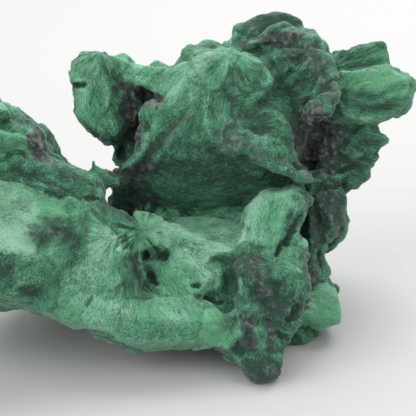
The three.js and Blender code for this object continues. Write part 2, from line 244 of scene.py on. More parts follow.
class Surface:
    """A mesh's points as an array, with its neighbours and normals."""

    def __init__(self, mesh: bpy.types.Mesh) -> None:
        """Reads the mesh's points and edges.

        Args:
            mesh: what is read, and written by store and mark.
        """
        self.mesh = mesh
        points = np.empty(len(mesh.vertices) * 3, np.float32)
        mesh.vertices.foreach_get("co", points)
        self.points = points.reshape(-1, 3).astype(float)
        edges = np.empty(len(mesh.edges) * 2, np.int32)
        mesh.edges.foreach_get("vertices", edges)
        self.edges = edges.reshape(-1, 2)
        self.degree = np.maximum(np.bincount(self.edges.ravel(), minlength=len(self.points)), 1)

    def around(self, values: np.ndarray) -> np.ndarray:
        """Averages values over each point's neighbours.

        Args:
            values: a number or a vector for each point.

        Returns:
            The means, in the same form.
        """
        flat = values.reshape(len(values), -1)
        first, second = self.edges.T
        mean = np.empty_like(flat)
        for column in range(flat.shape[1]):
            total = np.bincount(first, flat[second, column], len(flat))
            total += np.bincount(second, flat[first, column], len(flat))
            mean[:, column] = total / self.degree
        return mean.reshape(values.shape)

    def relaxed(self, values: np.ndarray, times: int) -> np.ndarray:
        """Smooths values over the surface.

        Args:
            values: a number or a vector for each point.
            times: how many times each point moves halfway to its neighbours' mean.

        Returns:
            The smoothed values.
        """
        for _ in range(times):
            values = values + 0.5 * (self.around(values) - values)
        return values

    def store(self) -> None:
        """Writes the points back to the mesh."""
        self.mesh.vertices.foreach_set("co", self.points.astype(np.float32).ravel())
        self.mesh.update()

    def normals(self) -> np.ndarray:
        """Stores the points and reads the mesh's normals.

        Returns:
            The outward normal at each point.
        """
        self.store()
        normals = np.empty(len(self.points) * 3, np.float32)
        self.mesh.vertex_normals.foreach_get("vector", normals)
        return normals.reshape(-1, 3).astype(float)

    def mark(self, layer: Layer, values: np.ndarray) -> None:
        """Stores values on the mesh's points for the finish.

        Args:
            layer: what the values are.
            values: a number or a vector for each point.
        """
        vectors = values.ndim == 2
        made = self.mesh.attributes.new(layer.value, "FLOAT_VECTOR" if vectors else "FLOAT", "POINT")
        made.data.foreach_set("vector" if vectors else "value", values.astype(np.float32).ravel())

    def layer(self, layer: Layer) -> np.ndarray:
        """Reads back numbers that were stored on the mesh's points.

        Args:
            layer: which numbers.

        Returns:
            A number for each point.
        """
        values = np.empty(len(self.points), np.float32)
        self.mesh.attributes[layer.value].data.foreach_get("value", values)
        return values


@dataclass(frozen=True)
class Spray:
    """A bundle of fibres that fans from a root.

    Attributes:
        centre: the bundle's middle, as x, depth and rise.
        root: the point that its fibres fan from.
        reach: its half-widths along x, depth and rise.
        lightness: how much lighter or darker it is than its neighbours, partly its own tone and partly
            painted light and shade for how light falls on it.
        fold: how deeply it is folded along its fibres.
    """

    centre: Triple
    root: Triple
    reach: Triple
    tint: float = 0.0
    fold: float = 1.0


@dataclass(frozen=True)
class Patch:
    """An oval area of the face.

    Attributes:
        x: place across the face, in mm.
        rise: place up the face, in mm.
        wide: half-width before it is turned.
        tall: half-height before it is turned.
        turn: degrees that it is turned anticlockwise.
        weight: its strength at the middle.
    """

    x: float
    rise: float
    wide: float
    tall: float
    turn: float = 0.0
    weight: float = 1.0


@dataclass(frozen=True)
class Stroke:
    """A line drawn over the face, such as a ridge, a groove or a vein.

    Attributes:
        path: its points as x and rise, in mm.
        width: its half-width.
        lift: how far it stands out, how deep it is where negative, or how strong it is.
    """

    path: tuple[Pair, ...]
    width: float
    lift: float


@dataclass(frozen=True)
class Knob:
    """A rounded form fused into the stone.

    Attributes:
        centre: x, depth and rise.
        size: its half-widths along them, before it is turned.
        turn: degrees about x, depth and rise.
    """

    centre: Triple
    size: Triple
    turn: Triple = (0.0, 0.0, 0.0)


@dataclass(frozen=True)
class Plate:
    """A thin broken plate fused into the stone.

    Attributes:
        outline: its corners as they appear on the face, as x and rise, in order.
        depth: how deep the middle of its front lies.
        thick: how far back it goes.
        lean: how much deeper its front gets per mm to the right and per mm up.
        jag: how ragged its rim is.
    """

    outline: tuple[Pair, ...]
    depth: float
    thick: float = 3.0
    lean: Pair = (0.0, 0.0)
    jag: float = 0.25


@dataclass(frozen=True)
class Star:
    """Fine rays that spread from a point of the face.

    Attributes:
        x: place of the point across the face.
        rise: place of the point up the face.
        reach: how far the rays go.
        rays: how closely they are set.
        weight: how strongly they show.
    """

    x: float
    rise: float
    reach: float
    rays: float
    weight: float


def patches(*rows: tuple[float, ...]) -> tuple[Patch, ...]:
    """Returns a patch for each row of x, rise, wide, tall, turn and weight."""
    return tuple(Patch(*row) for row in rows)


def strokes(*rows: tuple[Any, ...]) -> tuple[Stroke, ...]:
    """Returns a stroke for each row of width, lift and the points of its path."""
    return tuple(Stroke(tuple(path), width, lift) for width, lift, *path in rows)


def rosette(x: float, rise: float, ridges: int) -> tuple[Stroke, ...]:
    """Draws bent ridges that spread round a point, more to the right than to the left.

    Args:
        x: the point's place across the face.
        rise: its place up the face.
        ridges: how many ridges there are.

    Returns:
        A stroke for each ridge, every other one higher.
    """
    drawn = []
    for k in range(ridges):
        turn = k * math.tau / ridges
        path = []
        for reach in (0.4, 2.0, 4.0, 6.2):
            bent = turn + 0.08 * reach
            across = x + reach * (1.0 + 0.35 * math.cos(turn)) * math.cos(bent)
            path.append((across, rise + 0.75 * reach * math.sin(bent)))
        drawn.append(Stroke(tuple(path), 0.5, 0.5 if k % 2 else 0.3))
    return tuple(drawn)


# The bundles that show: each one's middle, root and reach, then its lightness and fold; the lightness is
# partly the bundle's own tone and partly painted light and shade.
SPRAYS = (
    Spray((-8, -2, 22), (2, 2, 35), (7, 8, 11), 0.35, 0.7),
    Spray((13, -5, 20), (-8, 0, 15), (8, 8, 6), -0.5, 0.6),
    Spray((9, -4, 27), (1, 2, 36), (6, 6, 5), -0.6, 0.6),
    Spray((-2, -4, 15), (4, 0, 34), (8, 8, 7), -0.1, 0.6),
    Spray((0, 5, 5), (-18, 0, -2), (18, 9, 5), -0.35, 0.5),
    Spray((5, 0, -4), (-13, -2, -3), (13, 8, 5), 0.2, 0.5),
    Spray((-12.5, -5, -4.4), (-12.2, 0, -4.6), (4.4, 5, 4), 1.1, 0.8),
    Spray((-5, -6, -12), (-12, -3, -5), (9, 6, 8), 0.5, 0.9),
    Spray((-16, -4, -11), (-12.5, -3, -3), (4, 6, 8), 1.2, 1.1),
    Spray((13, -5, -3), (8, -8, -18), (8, 5, 9), 0.5, 0.5),
    Spray((17, -6, -9), (13, -7, -15), (3.4, 4, 3.4), 0.05, 1),
    Spray((9, -15, -25), (5, -12, -11), (6, 7, 6), -0.55, 0.9),
    Spray((16, -8, -16), (11, -4, -7), (6, 8, 6), -0.8, 0.9),
    Spray((3, -12, -15), (0, -6, -6), (5, 7, 8), 0.1, 1),
    Spray((23, 2, -20), (13, 2, -16), (5, 5, 5), 1.2, 0.5),
    Spray((18, 3, -27), (12, 0, -18), (6, 6, 4), -0.3, 1.2),
    Spray((11, -12, -31), (8, -6, -17), (6, 6, 6), -0.7, 1),
    Spray((-22, -14, -17), (-15, -10, -5), (8, 8, 7), 0.6, 0.45),
    Spray((-9, -14, -24), (-14, -8, -8), (8, 8, 7), 0.3, 0.5),
    Spray((2, -13, -24), (-3, -8, -12), (6, 8, 6), 1, 0.8),
    Spray((-22, -18, -9), (-19, -8, 3), (8, 8, 9), 0.3, 0.4),
    Spray((-37, -20, -14), (-27, -14, -1), (11, 8, 7), 0, 0.5),
    Spray((-37, -22, -1), (-52, -14, 5), (10, 8, 7), 1.5, 0.8),
    Spray((-30, -16, 7), (-56, -12, 13), (14, 9, 4), -0.15, 1.2),
    Spray((-38, -14, 16), (-30, -10, 26), (9, 9, 5), 0.2, 1.4),
    Spray((-55, -9, 2), (-40, -9, -1), (10, 14, 14), 0.05, 1.2),
    Spray((-24, 0, 23), (-22, 4, 34), (6, 5, 9), 0.3, 0.6),
    Spray((-17, 2, 20), (-24, 4, 30), (4, 6, 7), -0.1, 1),
    Spray((-11, 5, 27), (-26, 3, 33), (9, 6, 4), 0.6, 1.2),
    Spray((-1, 4, 31), (3, 4, 22), (7, 6, 4), 0.1, 1.2),
    Spray((11, 8, 37.4), (2, 8, 34), (9, 4, 3.2), -0.8, 0.3),
    Spray((13, 12, 38), (0, 14, 32), (9, 6, 3), -0.9, 0.5),
    Spray((32, 6, 31), (12, 4, 22), (9, 6, 3.4), 0.1, 0.7),
    Spray((34, 4, 26), (20, 2, 21), (9, 6, 3), 0.6, 0.6),
    Spray((33, 5, 20), (19, 2, 21), (10, 6, 3.4), -0.1, 0.7),
    Spray((30, 8, 14), (19, 2, 17), (8, 6, 3), 0.1, 1.8),
    Spray((29, 8, 7), (19, 3, 12), (7, 6, 4), -0.5, 1.8),
    Spray((24, 3, -2), (19, 2, 9), (7, 6, 7), -0.3, 1.2),
    Spray((21, -2, 27), (11, 0, 20), (5, 6, 6), -0.15, 1.2),
    Spray((21, 2, 13), (21, -4, 23), (6, 7, 6), -0.3, 0.6),
)

# Where dark crust lies, and the lines along which it runs.
CRUSTS = patches(
    (-14.2, 22.4, 5.2, 2, -18), (-15.2, 16.8, 2.2, 5, 8), (-10.6, 22.2, 2.6, 1.2, -30),
    (-13.6, 7.2, 4.4, 1.7, 18), (-8, 14.6, 7.4, 1.2, 46, 0.5), (-19, 7.6, 1.8, 1.5, 0, 0.8),
    (-14, 1.6, 3.4, 3.4, 20, 0.6), (4.2, 14.4, 3.4, 3.6, 30, 0.7), (9, 12, 4, 1.6, -30, 0.6),
    (7.6, 32.6, 4.4, 1, 10, 0.7), (15, 33.6, 4.6, 2, -8, 0.9), (17, 8.6, 5, 1.5, -28, 0.65),
    (17.4, 31, 3.6, 2.2, -30, 0.7), (21.6, 29.6, 2.4, 4.6, 24, 0.8), (18.2, 26.4, 3, 3.4, 30, 0.45),
    (24, 24, 2.2, 3.6, 0, 0.8), (20.6, 19.4, 4, 2.6, 20, 0.8), (21.8, 14, 5.4, 6.6, 0, 1.3),
    (23.4, 7.2, 4, 1.6, 18, 0.7), (28, 21.8, 3, 1.5, 10, 0.5), (29, 11.2, 4, 4.2, 0, 0.35),
    (23, -2, 4.8, 7.4, 0, 0.6), (20.4, -11, 1.9, 4.8, 10, 0.6), (7.2, -10.8, 3.6, 2.2, -30, 0.4),
    (12.8, -20, 1.6, 1.3, 0, 0.8), (16.4, -20.8, 1.8, 1.5, 0, 0.7), (5, -22.6, 3.4, 2, 15, 0.6),
    (11, -33.2, 5.4, 2.4, 0, 0.5), (8, -14, 1.6, 4, 20, 0.4), (-33.8, 13, 2.7, 3.8, 0, 1.1),
    (-31, 9.6, 2.6, 1.4, -40, 0.7), (-32, -4, 5.6, 2.6, 20, 0.6), (-24.4, -3.6, 1, 3.6, -10, 0.5),
    (-23.8, 1.8, 1.6, 0.6, 0, 0.7), (-38, 17, 3, 1, -10, 0.5),
)

VEINS = strokes(
    (0.9, 0.55, (-2.6, 19.4), (-7.6, 14.2), (-12.4, 9.8)),
    (1.7, 1.2, (7.9, -8.6), (10.5, -15.4), (12.8, -18.8)),
    (1.9, 1.3, (7, -20.2), (8.4, -27.4), (9.2, -31)),
    (1.1, 1.1, (11.4, -20), (12.6, -25.6), (12.4, -30.4)),
    (1.3, 1.2, (18.4, -7.6), (21, -13.2), (20.2, -18.4), (17.2, -22.2)),
    (1.1, 0.9, (22, 3), (23, -2), (21.6, -7), (20.6, -10)),
    (0.8, 0.6, (27, 0), (25.6, -4), (22.6, -8.6)),
    (1.5, 0.7, (-33, 0), (-31, -4), (-29.6, -8)),
    (0.8, 0.6, (-24.6, -1), (-24.2, -5), (-25, -8)),
)

# Deep-green places and painted shade, then pale-green places and painted light, then painted highlights
# along thin rims.
DEEP_GREEN_AND_PAINTED_SHADE = patches(
    (-24.6, 4.8, 5.8, 1.5, -25, 0.8), (-41, -12, 2.6, 5, 0, 0.9), (-7.2, 14, 7.6, 1.1, 46, 0.4),
    (-37, 17.6, 5, 0.9, -14, 0.7), (34.6, 20.6, 6, 0.8, 8, 0.5), (29, 29.4, 5, 1.6, 4, 0.35),
    (-16, 1, 5.4, 5.2), (2, 8.6, 13, 4.4, -8, 0.45), (12, 5.4, 8, 1.2, -4, 0.8),
    (-17.2, 11.4, 1.4, 2.4, 0, 1.3), (-7.6, 14.8, 7.6, 1.2, 46, 0.7), (-14, 8, 4, 1.2, 30, 0.7),
    (19.4, 13, 4.6, 5.2, 0, 0.3), (31, 10.6, 5, 6, 0, 0.5), (23.6, 0, 4.4, 6.6, 0, 0.9),
    (16.6, -4, 1.5, 4.2, -20), (4.4, -13.4, 1.8, 4.6, 10, 1.2), (11, -33, 5.6, 2.8, 0, 0.7),
    (12.6, 34.4, 7, 0.7, 6, 1.1), (14.4, 37.4, 6.4, 2.2, 0, 0.6), (20, 6, 2.6, 1, -28, 0.9),
    (-19.4, 27.4, 1.8, 4.6, 27, 0.9), (-2, -13.6, 2.4, 1.6, 0, 0.5), (7, -11, 4, 2.4, -24, 0.9),
    (32, 32, 6.4, 1.2, 10, 0.3), (-33, 3.4, 6.4, 1.1, -14, 0.8), (-31, -4.6, 4.8, 3.2, 20, 1.2),
    (-27, -7.6, 2.8, 3.4, 0, 0.6), (-14.6, -12.4, 1.1, 3.8, 35, 0.4), (-35.6, -16.6, 2.3, 1.3, 0, 1.1),
    (-13.4, -2.8, 1.1, 1.2, 0, 1.1), (-10.8, -9.6, 3, 1.1, -6, 1.5), (-11.4, -13.4, 0.9, 2.3, 25, 1.4),
    (-2.2, -15.5, 0.8, 0.7, 0, 1.4), (13, -20, 1.4, 1.7, 0, 1.3), (4, -22.4, 2, 1.3), (7, -27.6, 2, 1.6),
    (-26.4, 24.4, 2, 0.6, 6, 1.4), (-24, 29.8, 4, 1.1, 0, 0.5), (-17, 17, 1.6, 4.6, 8, 0.8),
    (17.6, -29, 2.6, 2.8, 0, 0.8), (8, -12.6, 5, 2, -25, 0.6), (-37.6, 7, 4, 0.8, -10, 0.6),
    (17.6, -2.4, 1.3, 4, -18, 0.9), (11, -19, 7, 8, 0, 0.4), (2.6, -10.2, 2.6, 0.8, -20, 0.6),
    (18.6, 2.4, 2, 1.4, 0, 0.7),
)

# Pale-green places and painted light.
PALE_GREEN_AND_PAINTED_LIGHT = patches(
    (1.6, -25.4, 2.6, 1.8, -20, 0.7), (17, -14, 2, 2.6, 0, 0.7), (10.6, -27.4, 0.9, 3.4, 12, 0.5),
    (-5.6, -4.4, 7.6, 2.8, -8), (2.6, -4.6, 6, 2.8, -14, 0.8), (2.6, -8.2, 4, 1.8, -16),
    (-11, -4.6, 5.4, 2.4, -8, 0.8), (-4.6, -11.4, 3.6, 3.6, 0, 0.5), (-4, 25, 6, 3.6, 50, 0.45),
    (-12, -4.6, 4.4, 3.6, 0, 0.6), (-2, -13.2, 5, 4.6, 0, 0.8), (-8.6, -15.2, 3.4, 1.8, -30, 0.6),
    (6, 30.2, 4.6, 2, -8, 0.8), (12.6, 25.8, 1.4, 2.2, 0, 0.9), (34.4, 25.8, 5.2, 2.2, 6, 1.1),
    (-20.4, -8.6, 4, 5.6, 0, 0.6), (-22.6, -14.6, 5, 4.4, 0, 0.5), (-25.6, 20.6, 1.6, 5.4, 0, 0.6),
    (10.6, -1.4, 3.4, 5, -20, 0.4), (15.6, -9.4, 1.6, 2.2, 30, 0.6), (-38, -7, 4, 3.4, 0, 0.55),
    (-34.6, 1, 3, 1.4, -20, 0.5), (-23.4, 3.4, 2.4, 1.4, -20, 0.8), (23, -19, 3.4, 3.4),
    (-39, 20.4, 3, 1.4, -20, 0.5), (-14, 28.4, 1.6, 1.3, 0, 0.8), (10, -23.6, 1.3, 4.6, 22, 0.7),
    (-5, -21, 8, 2, -3, 0.45), (-24, -19.6, 5, 2.4, -20, 0.4), (30.6, 17.6, 4, 1, -8, 0.4),
    (-36.4, 12, 3, 1, 0, 0.4),
)

# Painted highlights along thin rims.
GLINTS = strokes(
    (0.7, 0.55, (20.4, 5.2), (22.4, 5.6), (24, 6.6), (28.2, 7.6)),
    (0.7, 0.55, (1.4, 31.6), (-3.6, 26), (-8.4, 19.6), (-11.8, 14.2), (-14.2, 9.8), (-18, 7.2)),
    (0.7, 0.55, (-2.4, 18.4), (-7.4, 13.6), (-10, 9.4)),
    (0.7, 0.55, (20, 9), (24, 8.6), (29, 8.2), (26, 6.4), (22, 5.4)),
    (0.7, 0.55, (6.8, -8.2), (5.6, -3.4), (8.2, 1.6), (10.8, 3.4), (16, 3.4), (19.6, 3.8)),
    (0.7, 0.55, (6.4, 12.6), (10.8, 11.2), (14.4, 9.6), (18.4, 7.2), (21.4, 5.2)),
    (0.7, 0.55, (-3, -8.2), (0.2, -9.4), (3.4, -9.2), (5.6, -7.4)),
)

# Crumbly places, and small holes.
RUBBLE = patches(
    (10.6, -16, 7.4, 6), (9.6, -24, 7, 6, 10), (11.4, -32, 6, 4.4, 0, 0.8), (15, 32.4, 8, 3, -8, 0.9),
    (21, 26, 4.6, 7, 10), (21, 17, 5, 3, 0, 0.8), (8, 13.4, 9, 3, -28, 0.3), (30, 10.6, 6, 7, 0, 0.6),
    (23.4, -1, 4.6, 6.6, 0, 0.7), (20.6, -12, 2.6, 4.6, 0, 0.7), (-14, 19.4, 5, 5.6, 0, 0.9),
    (-34.6, 11.6, 5.6, 4.6, 0, 0.7), (-36, 19, 6, 2.6, -10, 0.6), (-33, 3, 7, 2.6, -10, 0.5),
    (-13, 6.6, 5, 2, 20, 0.6), (18.6, -28.4, 4, 3.4, 0, 0.8), (-11, -9.8, 3, 1.6, 0, 0.5),
)

# Small holes, cut into the surface and darkened as painted shade.
PITS = patches(
    (-12.4, -9.4, 1, 0.6), (-9, -9.6, 1.3, 0.8, 10), (-11.2, -14, 1.8, 0.6, -52),
    (-2.4, -15.6, 0.9, 0.5, 10, 0.8), (-26.4, 24.6, 1.9, 0.5, 5), (-23.8, -18.6, 0.5, 1.1, -30, 0.6),
    (-36, -16.6, 1.8, 0.9, 0, 0.25), (-16.4, -7, 0.7, 1.5, 0, 0.6), (-14.8, -10.4, 1.2, 2.8, 22, 0.2),
    (16.6, -5, 0.7, 3, -28), (14.2, -8.2, 0.6, 1.6, -30), (21.2, 14, 3.4, 3, 0, 0.5),
    (19.6, 8.4, 2.6, 0.8, 5), (14.4, 32.6, 3.4, 0.5, -6, 0.7), (22.6, -10.6, 0.6, 2, 10, 0.7),
    (17, -21, 0.6, 2.4, -30, 0.8), (14.8, -25.6, 1.8, 0.6, -20, 0.7), (9.8, -16.4, 1.1, 1, 0, 0.6),
    (-17.4, 7, 1.6, 0.5, 15, 0.7), (-23.4, 2, 1.6, 0.5, -8, 0.8), (0.4, -18.4, 2.6, 0.6, -14, 0.6),
    (-5.6, -21, 0.4, 1.2, 10, 0.3), (35, 11.4, 1.6, 0.6, 30, 0.6), (27, 7.6, 2.6, 0.5, 20, 0.7),
    (24.6, 4.2, 2.4, 0.5, 12, 0.8), (-14.6, 18.4, 0.9, 3, 12, 0.5),
)

# Ridges and grooves of the face.
STROKES = strokes(
    (0.7, 0.5, (1.4, 31.6), (-3.6, 26), (-8.4, 19.6), (-11.8, 14.2), (-14.2, 9.8), (-18, 7.2)),
    (0.8, -0.5, (-0.6, 25.6), (-5, 20), (-9, 14.6), (-11.6, 10.6)),
    (0.6, 0.4, (-2, 21), (-6.6, 15), (-9.6, 10.4)),
    (0.5, 0.3, (8.4, -6), (9.6, -2), (11.6, 2.4)),
    (0.5, -0.4, (10.4, -7), (12, -2.4), (13.4, 2.6)),
    (0.5, 0.35, (13.4, -6), (14.6, -2), (16, 2.4)),
    (0.6, -0.8, (14.6, -6.6), (16, -3), (17.4, 1)),
    (0.9, -0.9, (21.6, 4), (21, 0), (22.4, -5)),
    (0.8, 0.8, (24.4, 3), (24, -1), (25, -6)),
    (0.6, -0.6, (26.6, 1), (26.4, -3), (26, -6)),
    (0.9, -0.8, (2.4, -8.6), (5, -10.4), (8.4, -9.6)),
    (0.9, 0.8, (7.4, -13), (7.6, -18), (9.6, -23)),
    (0.8, -0.8, (14.6, -13), (13.6, -18), (15, -23)),
    (0.4, 0.6, (21.4, 5.4), (24, 6.6), (27.2, 7.4)),
    (0.9, -1, (16.6, 10.2), (19.6, 8.6), (23, 6.9)),
    (0.8, -0.9, (17, 4.6), (20, 4), (23, 4.4)),
    (0.6, 0.4, (-0.6, 30.4), (-5.4, 25), (-8.6, 21.6), (-11.4, 17)),
    (0.7, 0.35, (0.6, 28), (0.4, 23), (-1.6, 17.6), (-4, 12)),
    (0.6, 0.6, (1.8, 31), (3, 27), (4.6, 23.6), (6.4, 20.6)),
    (0.5, -0.5, (2.6, 27), (3.6, 24), (5, 21.2)),
    (0.7, -1.1, (10.8, 29.6), (12.6, 28.4), (13.4, 26.4), (14.4, 25), (13.2, 23.2), (10.8, 22)),
    (0.7, -1.3, (5.2, 33.2), (8.8, 34.2), (13.6, 34.8), (18.4, 33.6)),
    (0.7, -0.6, (6.4, 16.6), (10.4, 15.6), (15, 15.6)),
    (0.6, 0.3, (5, 24), (9, 20), (15, 18.6)),
    (0.6, -0.35, (8, 27), (8, 23), (9.4, 20)),
    (0.7, -0.6, (6.4, 20.2), (12, 21.6), (18, 24)),
    (0.7, -0.5, (2, 17.6), (8, 18.4), (14, 17.6)),
    (0.8, -0.8, (9.6, 11.6), (14.4, 9.4), (18.6, 7.6)),
    (0.8, 0.5, (6.4, 13.4), (11, 11), (16, 8), (20.6, 5.2)),
    (0.6, -0.9, (24.4, 27.2), (31, 28.4), (38, 29.6)),
    (0.5, -0.5, (24, 30), (30, 30.2), (36, 32)),
    (0.5, -1.2, (27.4, 22.6), (34, 22.6), (41, 25.2)),
    (0.5, -0.6, (28, 18.6), (33, 19.6), (38, 21)),
    (0.9, 0.7, (-41, 11), (-34, 8.6), (-27, 7.6), (-20, 5.4)),
    (0.9, -0.9, (-41, 6.4), (-34, 6), (-28, 3.6), (-22, 1.6)),
    (0.9, 0.6, (-41, 1), (-35, 3.6), (-28, 1)),
    (0.9, 0.7, (-38, -4), (-33, 0), (-28, -1.6), (-24.6, -0.6)),
    (0.9, -0.6, (-24.4, 0.8), (-24, -4), (-27, -9), (-27.4, -16)),
    (0.8, -0.9, (-15, -8.6), (-14, -13), (-12, -18)),
    (0.9, 0.5, (-17, -6), (-18, -12), (-14, -18)),
    (0.6, -0.6, (12, -6), (15, -9.6), (15.4, -13)),
    (0.6, -0.8, (20.4, -1), (18.4, -6), (16, -10)),
    (1, 0.8, (6, -19), (9, -24), (11.4, -29)),
    (0.9, -0.5, (-2.6, -20), (0, -25), (4, -28)),
    (0.8, 0.5, (-23, 32), (-21.4, 27), (-20, 20), (-17.4, 14.6)),
) + rosette(-11.0, -4.9, 19)

STARS = (
    Star(-18.2, -5.2, 9, 4, 0.22), Star(-16.8, -4.9, 3.2, 2.6, 0.8), Star(-13.2, -4.6, 7, 3, 2.2),
    Star(4.2, 31.2, 10, 4.6, 0.2), Star(13.4, -11.2, 4.4, 3, 0.4), Star(-21.4, 31.4, 7, 4, 0.4),
)

# Thin sheets and rims that are added to the mass, and knobs on its crest, blade and arm.
PLATES = (
    # the waist
    Plate(
        ((19.4, 7), (23, 8), (27.2, 6.6), (27.4, 3), (27, -3.6), (23, -8.4), (20.4, -10.6), (19.4, -6)),
        3, 4, (0.1, 0.1), 0.3,
    ),
    # the veil's border
    Plate(
        ((-13.4, 20.6), (-11, 21.4), (-8.8, 21), (-9.4, 18.6), (-10.6, 16.6), (-12.2, 14.4), (-14.2, 12.4),
         (-14.6, 13.6), (-13.8, 16.6)),
        -4.2, 3, (-0.8, -0.05), 0.3,
    ),
    # the sheet between the upper left lobe and the head
    Plate(
        ((-20.3, 29.8), (-17, 29.4), (-14.7, 28.9), (-11, 28.4), (-6.9, 28.6), (-4.9, 26.8), (-8.2, 21.6),
         (-12.6, 24.6), (-17.2, 24.8), (-19.4, 24.8)),
        -0.6, 3, (-0.35, 0.3), 0.4,
    ),
    # the valley left of the pendant
    Plate(
        ((2.6, -10.4), (6.8, -10.6), (7.8, -15), (7.6, -20.6), (3.4, -21), (1, -20), (1.4, -17.6),
         (3.2, -15.6), (2.4, -12.4)),
        -7.4, 4, (-1.4, 0.05), 0.2,
    ),
    # the hook at the crown's left
    Plate(
        ((5, 36.4), (5, 33.8), (9, 34.2), (14, 35.2), (19.4, 35.6), (19, 37.8), (15.4, 39.2), (10.6, 39)),
        6.6, 4, (0.1, 0.5), 0.15,
    ),
    # the apron
    Plate(
        ((-3.6, -6.6), (-1, -8.8), (0.6, -9.9), (1.9, -12.7), (2.9, -15.2), (2.9, -15.9), (1.6, -16.9),
         (-1.6, -17.1), (-2.6, -17.9), (-3.8, -19.2), (-5.2, -19.6), (-7.6, -18.4), (-9.4, -16.8),
         (-9.6, -14.4), (-8.6, -11.4), (-6.6, -8.8)),
        -9, 2, (0.05, 0.2), 0.5,
    ),
    # the bent rim left of the apron
    Plate(
        ((-13.2, -10.4), (-10.6, -11.2), (-9.2, -13.6), (-8.6, -17), (-11.8, -16.4), (-10.6, -14.4),
         (-11.8, -12.2)),
        -8.6, 4, (0, 0.1), 0.35,
    ),
    # the rosette's upper rim
    Plate(
        ((-16.2, -2.8), (-13.8, -1.1), (-11.4, -1.5), (-11.6, -3.2), (-12.3, -4.4), (-14.4, -3.9)),
        -7.6, 3, (0.3, 0.2), 0.3,
    ),
    # the leaf in the gap
    Plate(
        ((-16, 24.2), (-12, 23.4), (-9.2, 21), (-9.6, 15.6), (-11.6, 11.6), (-14, 11.6), (-16, 13.6),
         (-17.2, 19.6)),
        5.4, 4, (-0.2, 0), 0.25,
    ),
    # the cup's floor
    Plate(
        ((-10.5, -1.8), (-4, -1.6), (2, -2), (6.8, -3.2), (5.8, -8.4), (2, -9.4), (-2, -7.6), (-7, -4.8),
         (-10.5, -4)),
        -2.4, 3, (-0.1, 1.5), 0.2,
    ),
    # the belly
    Plate(
        ((2, 17.6), (8, 20.5), (14, 19.6), (17.2, 15.6), (18, 11.4), (19.6, 7.8), (14, 9.6), (8, 12.6),
         (3.4, 15)),
        -5.6, 3, (0.1, 0.12), 0.2,
    ),
    # the hollow beside the crest
    Plate(((20.4, 19), (24, 19), (27, 17), (25, 12.4), (21.4, 11), (20.2, 15)), 7.2, 4, (-0.3, 0.1), 0.25),
    # the leaf's edge
    Plate(
        ((-13.6, 21.6), (-12.6, 21.2), (-11.4, 18), (-11, 14), (-12.4, 13.6), (-13, 17.6)),
        3, 5, (0.3, 0), 0.4,
    ),
    # broken rims on the upper left lobe
    Plate(((-24.6, 30.8), (-22.6, 31.4), (-20.4, 30.6), (-20, 28.4), (-24, 28.4)), 1.4, 4, (0.1, 0.2), 0.4),
    Plate(((-19.2, 30.2), (-17, 30.4), (-15.2, 29), (-15, 27), (-19, 27)), 3.4, 4, (0.1, 0.2), 0.4),
    Plate(((-11.6, 28), (-10.6, 29.6), (-8.4, 28.4), (-6, 26.6), (-10, 25.6)), 4.4, 4, (0, 0.2), 0.4),
    # the tongue below the crown
    Plate(
        ((6.6, 30.8), (11, 29.2), (14.2, 26), (14.4, 24.6), (11.2, 22.2), (8.6, 20.4), (7, 25)),
        -5.4, 2, (0.15, 0.3), 0.6,
    ),
    # the lip's tip
    Plate(
        ((-17, 5.2), (-18.8, 6.8), (-20.2, 7.6), (-22.6, 8), (-23, 7), (-20.6, 5.4), (-18.6, 4.2)),
        -3.4, 2.4, (0.3, 0), 0.3,
    ),
)

KNOBS = (
    Knob((18.4, -0.4, 32.8), (1.7, 1.6, 1.5)), Knob((16.4, -1, 31), (1.8, 1.5, 1.2)),
    Knob((20.6, -1.8, 30.6), (1.7, 1.7, 1.8)), Knob((19, -2.6, 27.8), (1.6, 1.5, 1.5)),
    Knob((22.6, -3, 27), (1.6, 1.6, 1.8)), Knob((24.4, -3.4, 23.4), (1.8, 1.7, 2)),
    Knob((21.4, -4.2, 22), (1.6, 1.4, 1.3)), Knob((22.4, -4.4, 19.8), (1.7, 1.5, 1.3)),
    Knob((19.4, -4.2, 17.8), (1.6, 1.4, 1.6)), Knob((16.6, -7.4, -9.2), (2.4, 1, 1.2), (0, 40, 0)),
    Knob((18, -6.4, -7.2), (1.8, 1, 0.9), (0, 50, 0)), Knob((18.4, -2, -1.4), (1.4, 3, 4.6), (0, 12, 0)),
    Knob((-36, -22.4, 12.6), (4.4, 3, 1.8), (0, 12, 0)), Knob((-40, -20.4, 17.4), (4, 3, 1.6), (0, 8, 0)),
    Knob((-50, -20, 6), (5, 3.6, 3.4)), Knob((-57, -12, -6), (4, 5, 4.4)),
    Knob((-54, -18, -8), (4.4, 3.4, 3.6)),
)


@dataclass
class Field:
    """What the bundles of fibres give each point.

    Attributes:
        way: direction along the fibres, in the row frame.
        weave: coordinates that change slowly along a fibre and quickly across it.
        seam: how near the point is to the seam between two bundles, 0 to 1.
        lightness: the bundle's lightness, partly its own tone and partly painted light and shade.
        fold: the bundle's depth of folds.
        ray: how strongly the rays of a star show, once stars have been spread.
    """

    way: np.ndarray
    weave: np.ndarray
    seam: np.ndarray
    tint: np.ndarray
    fold: np.ndarray
    ray: np.ndarray


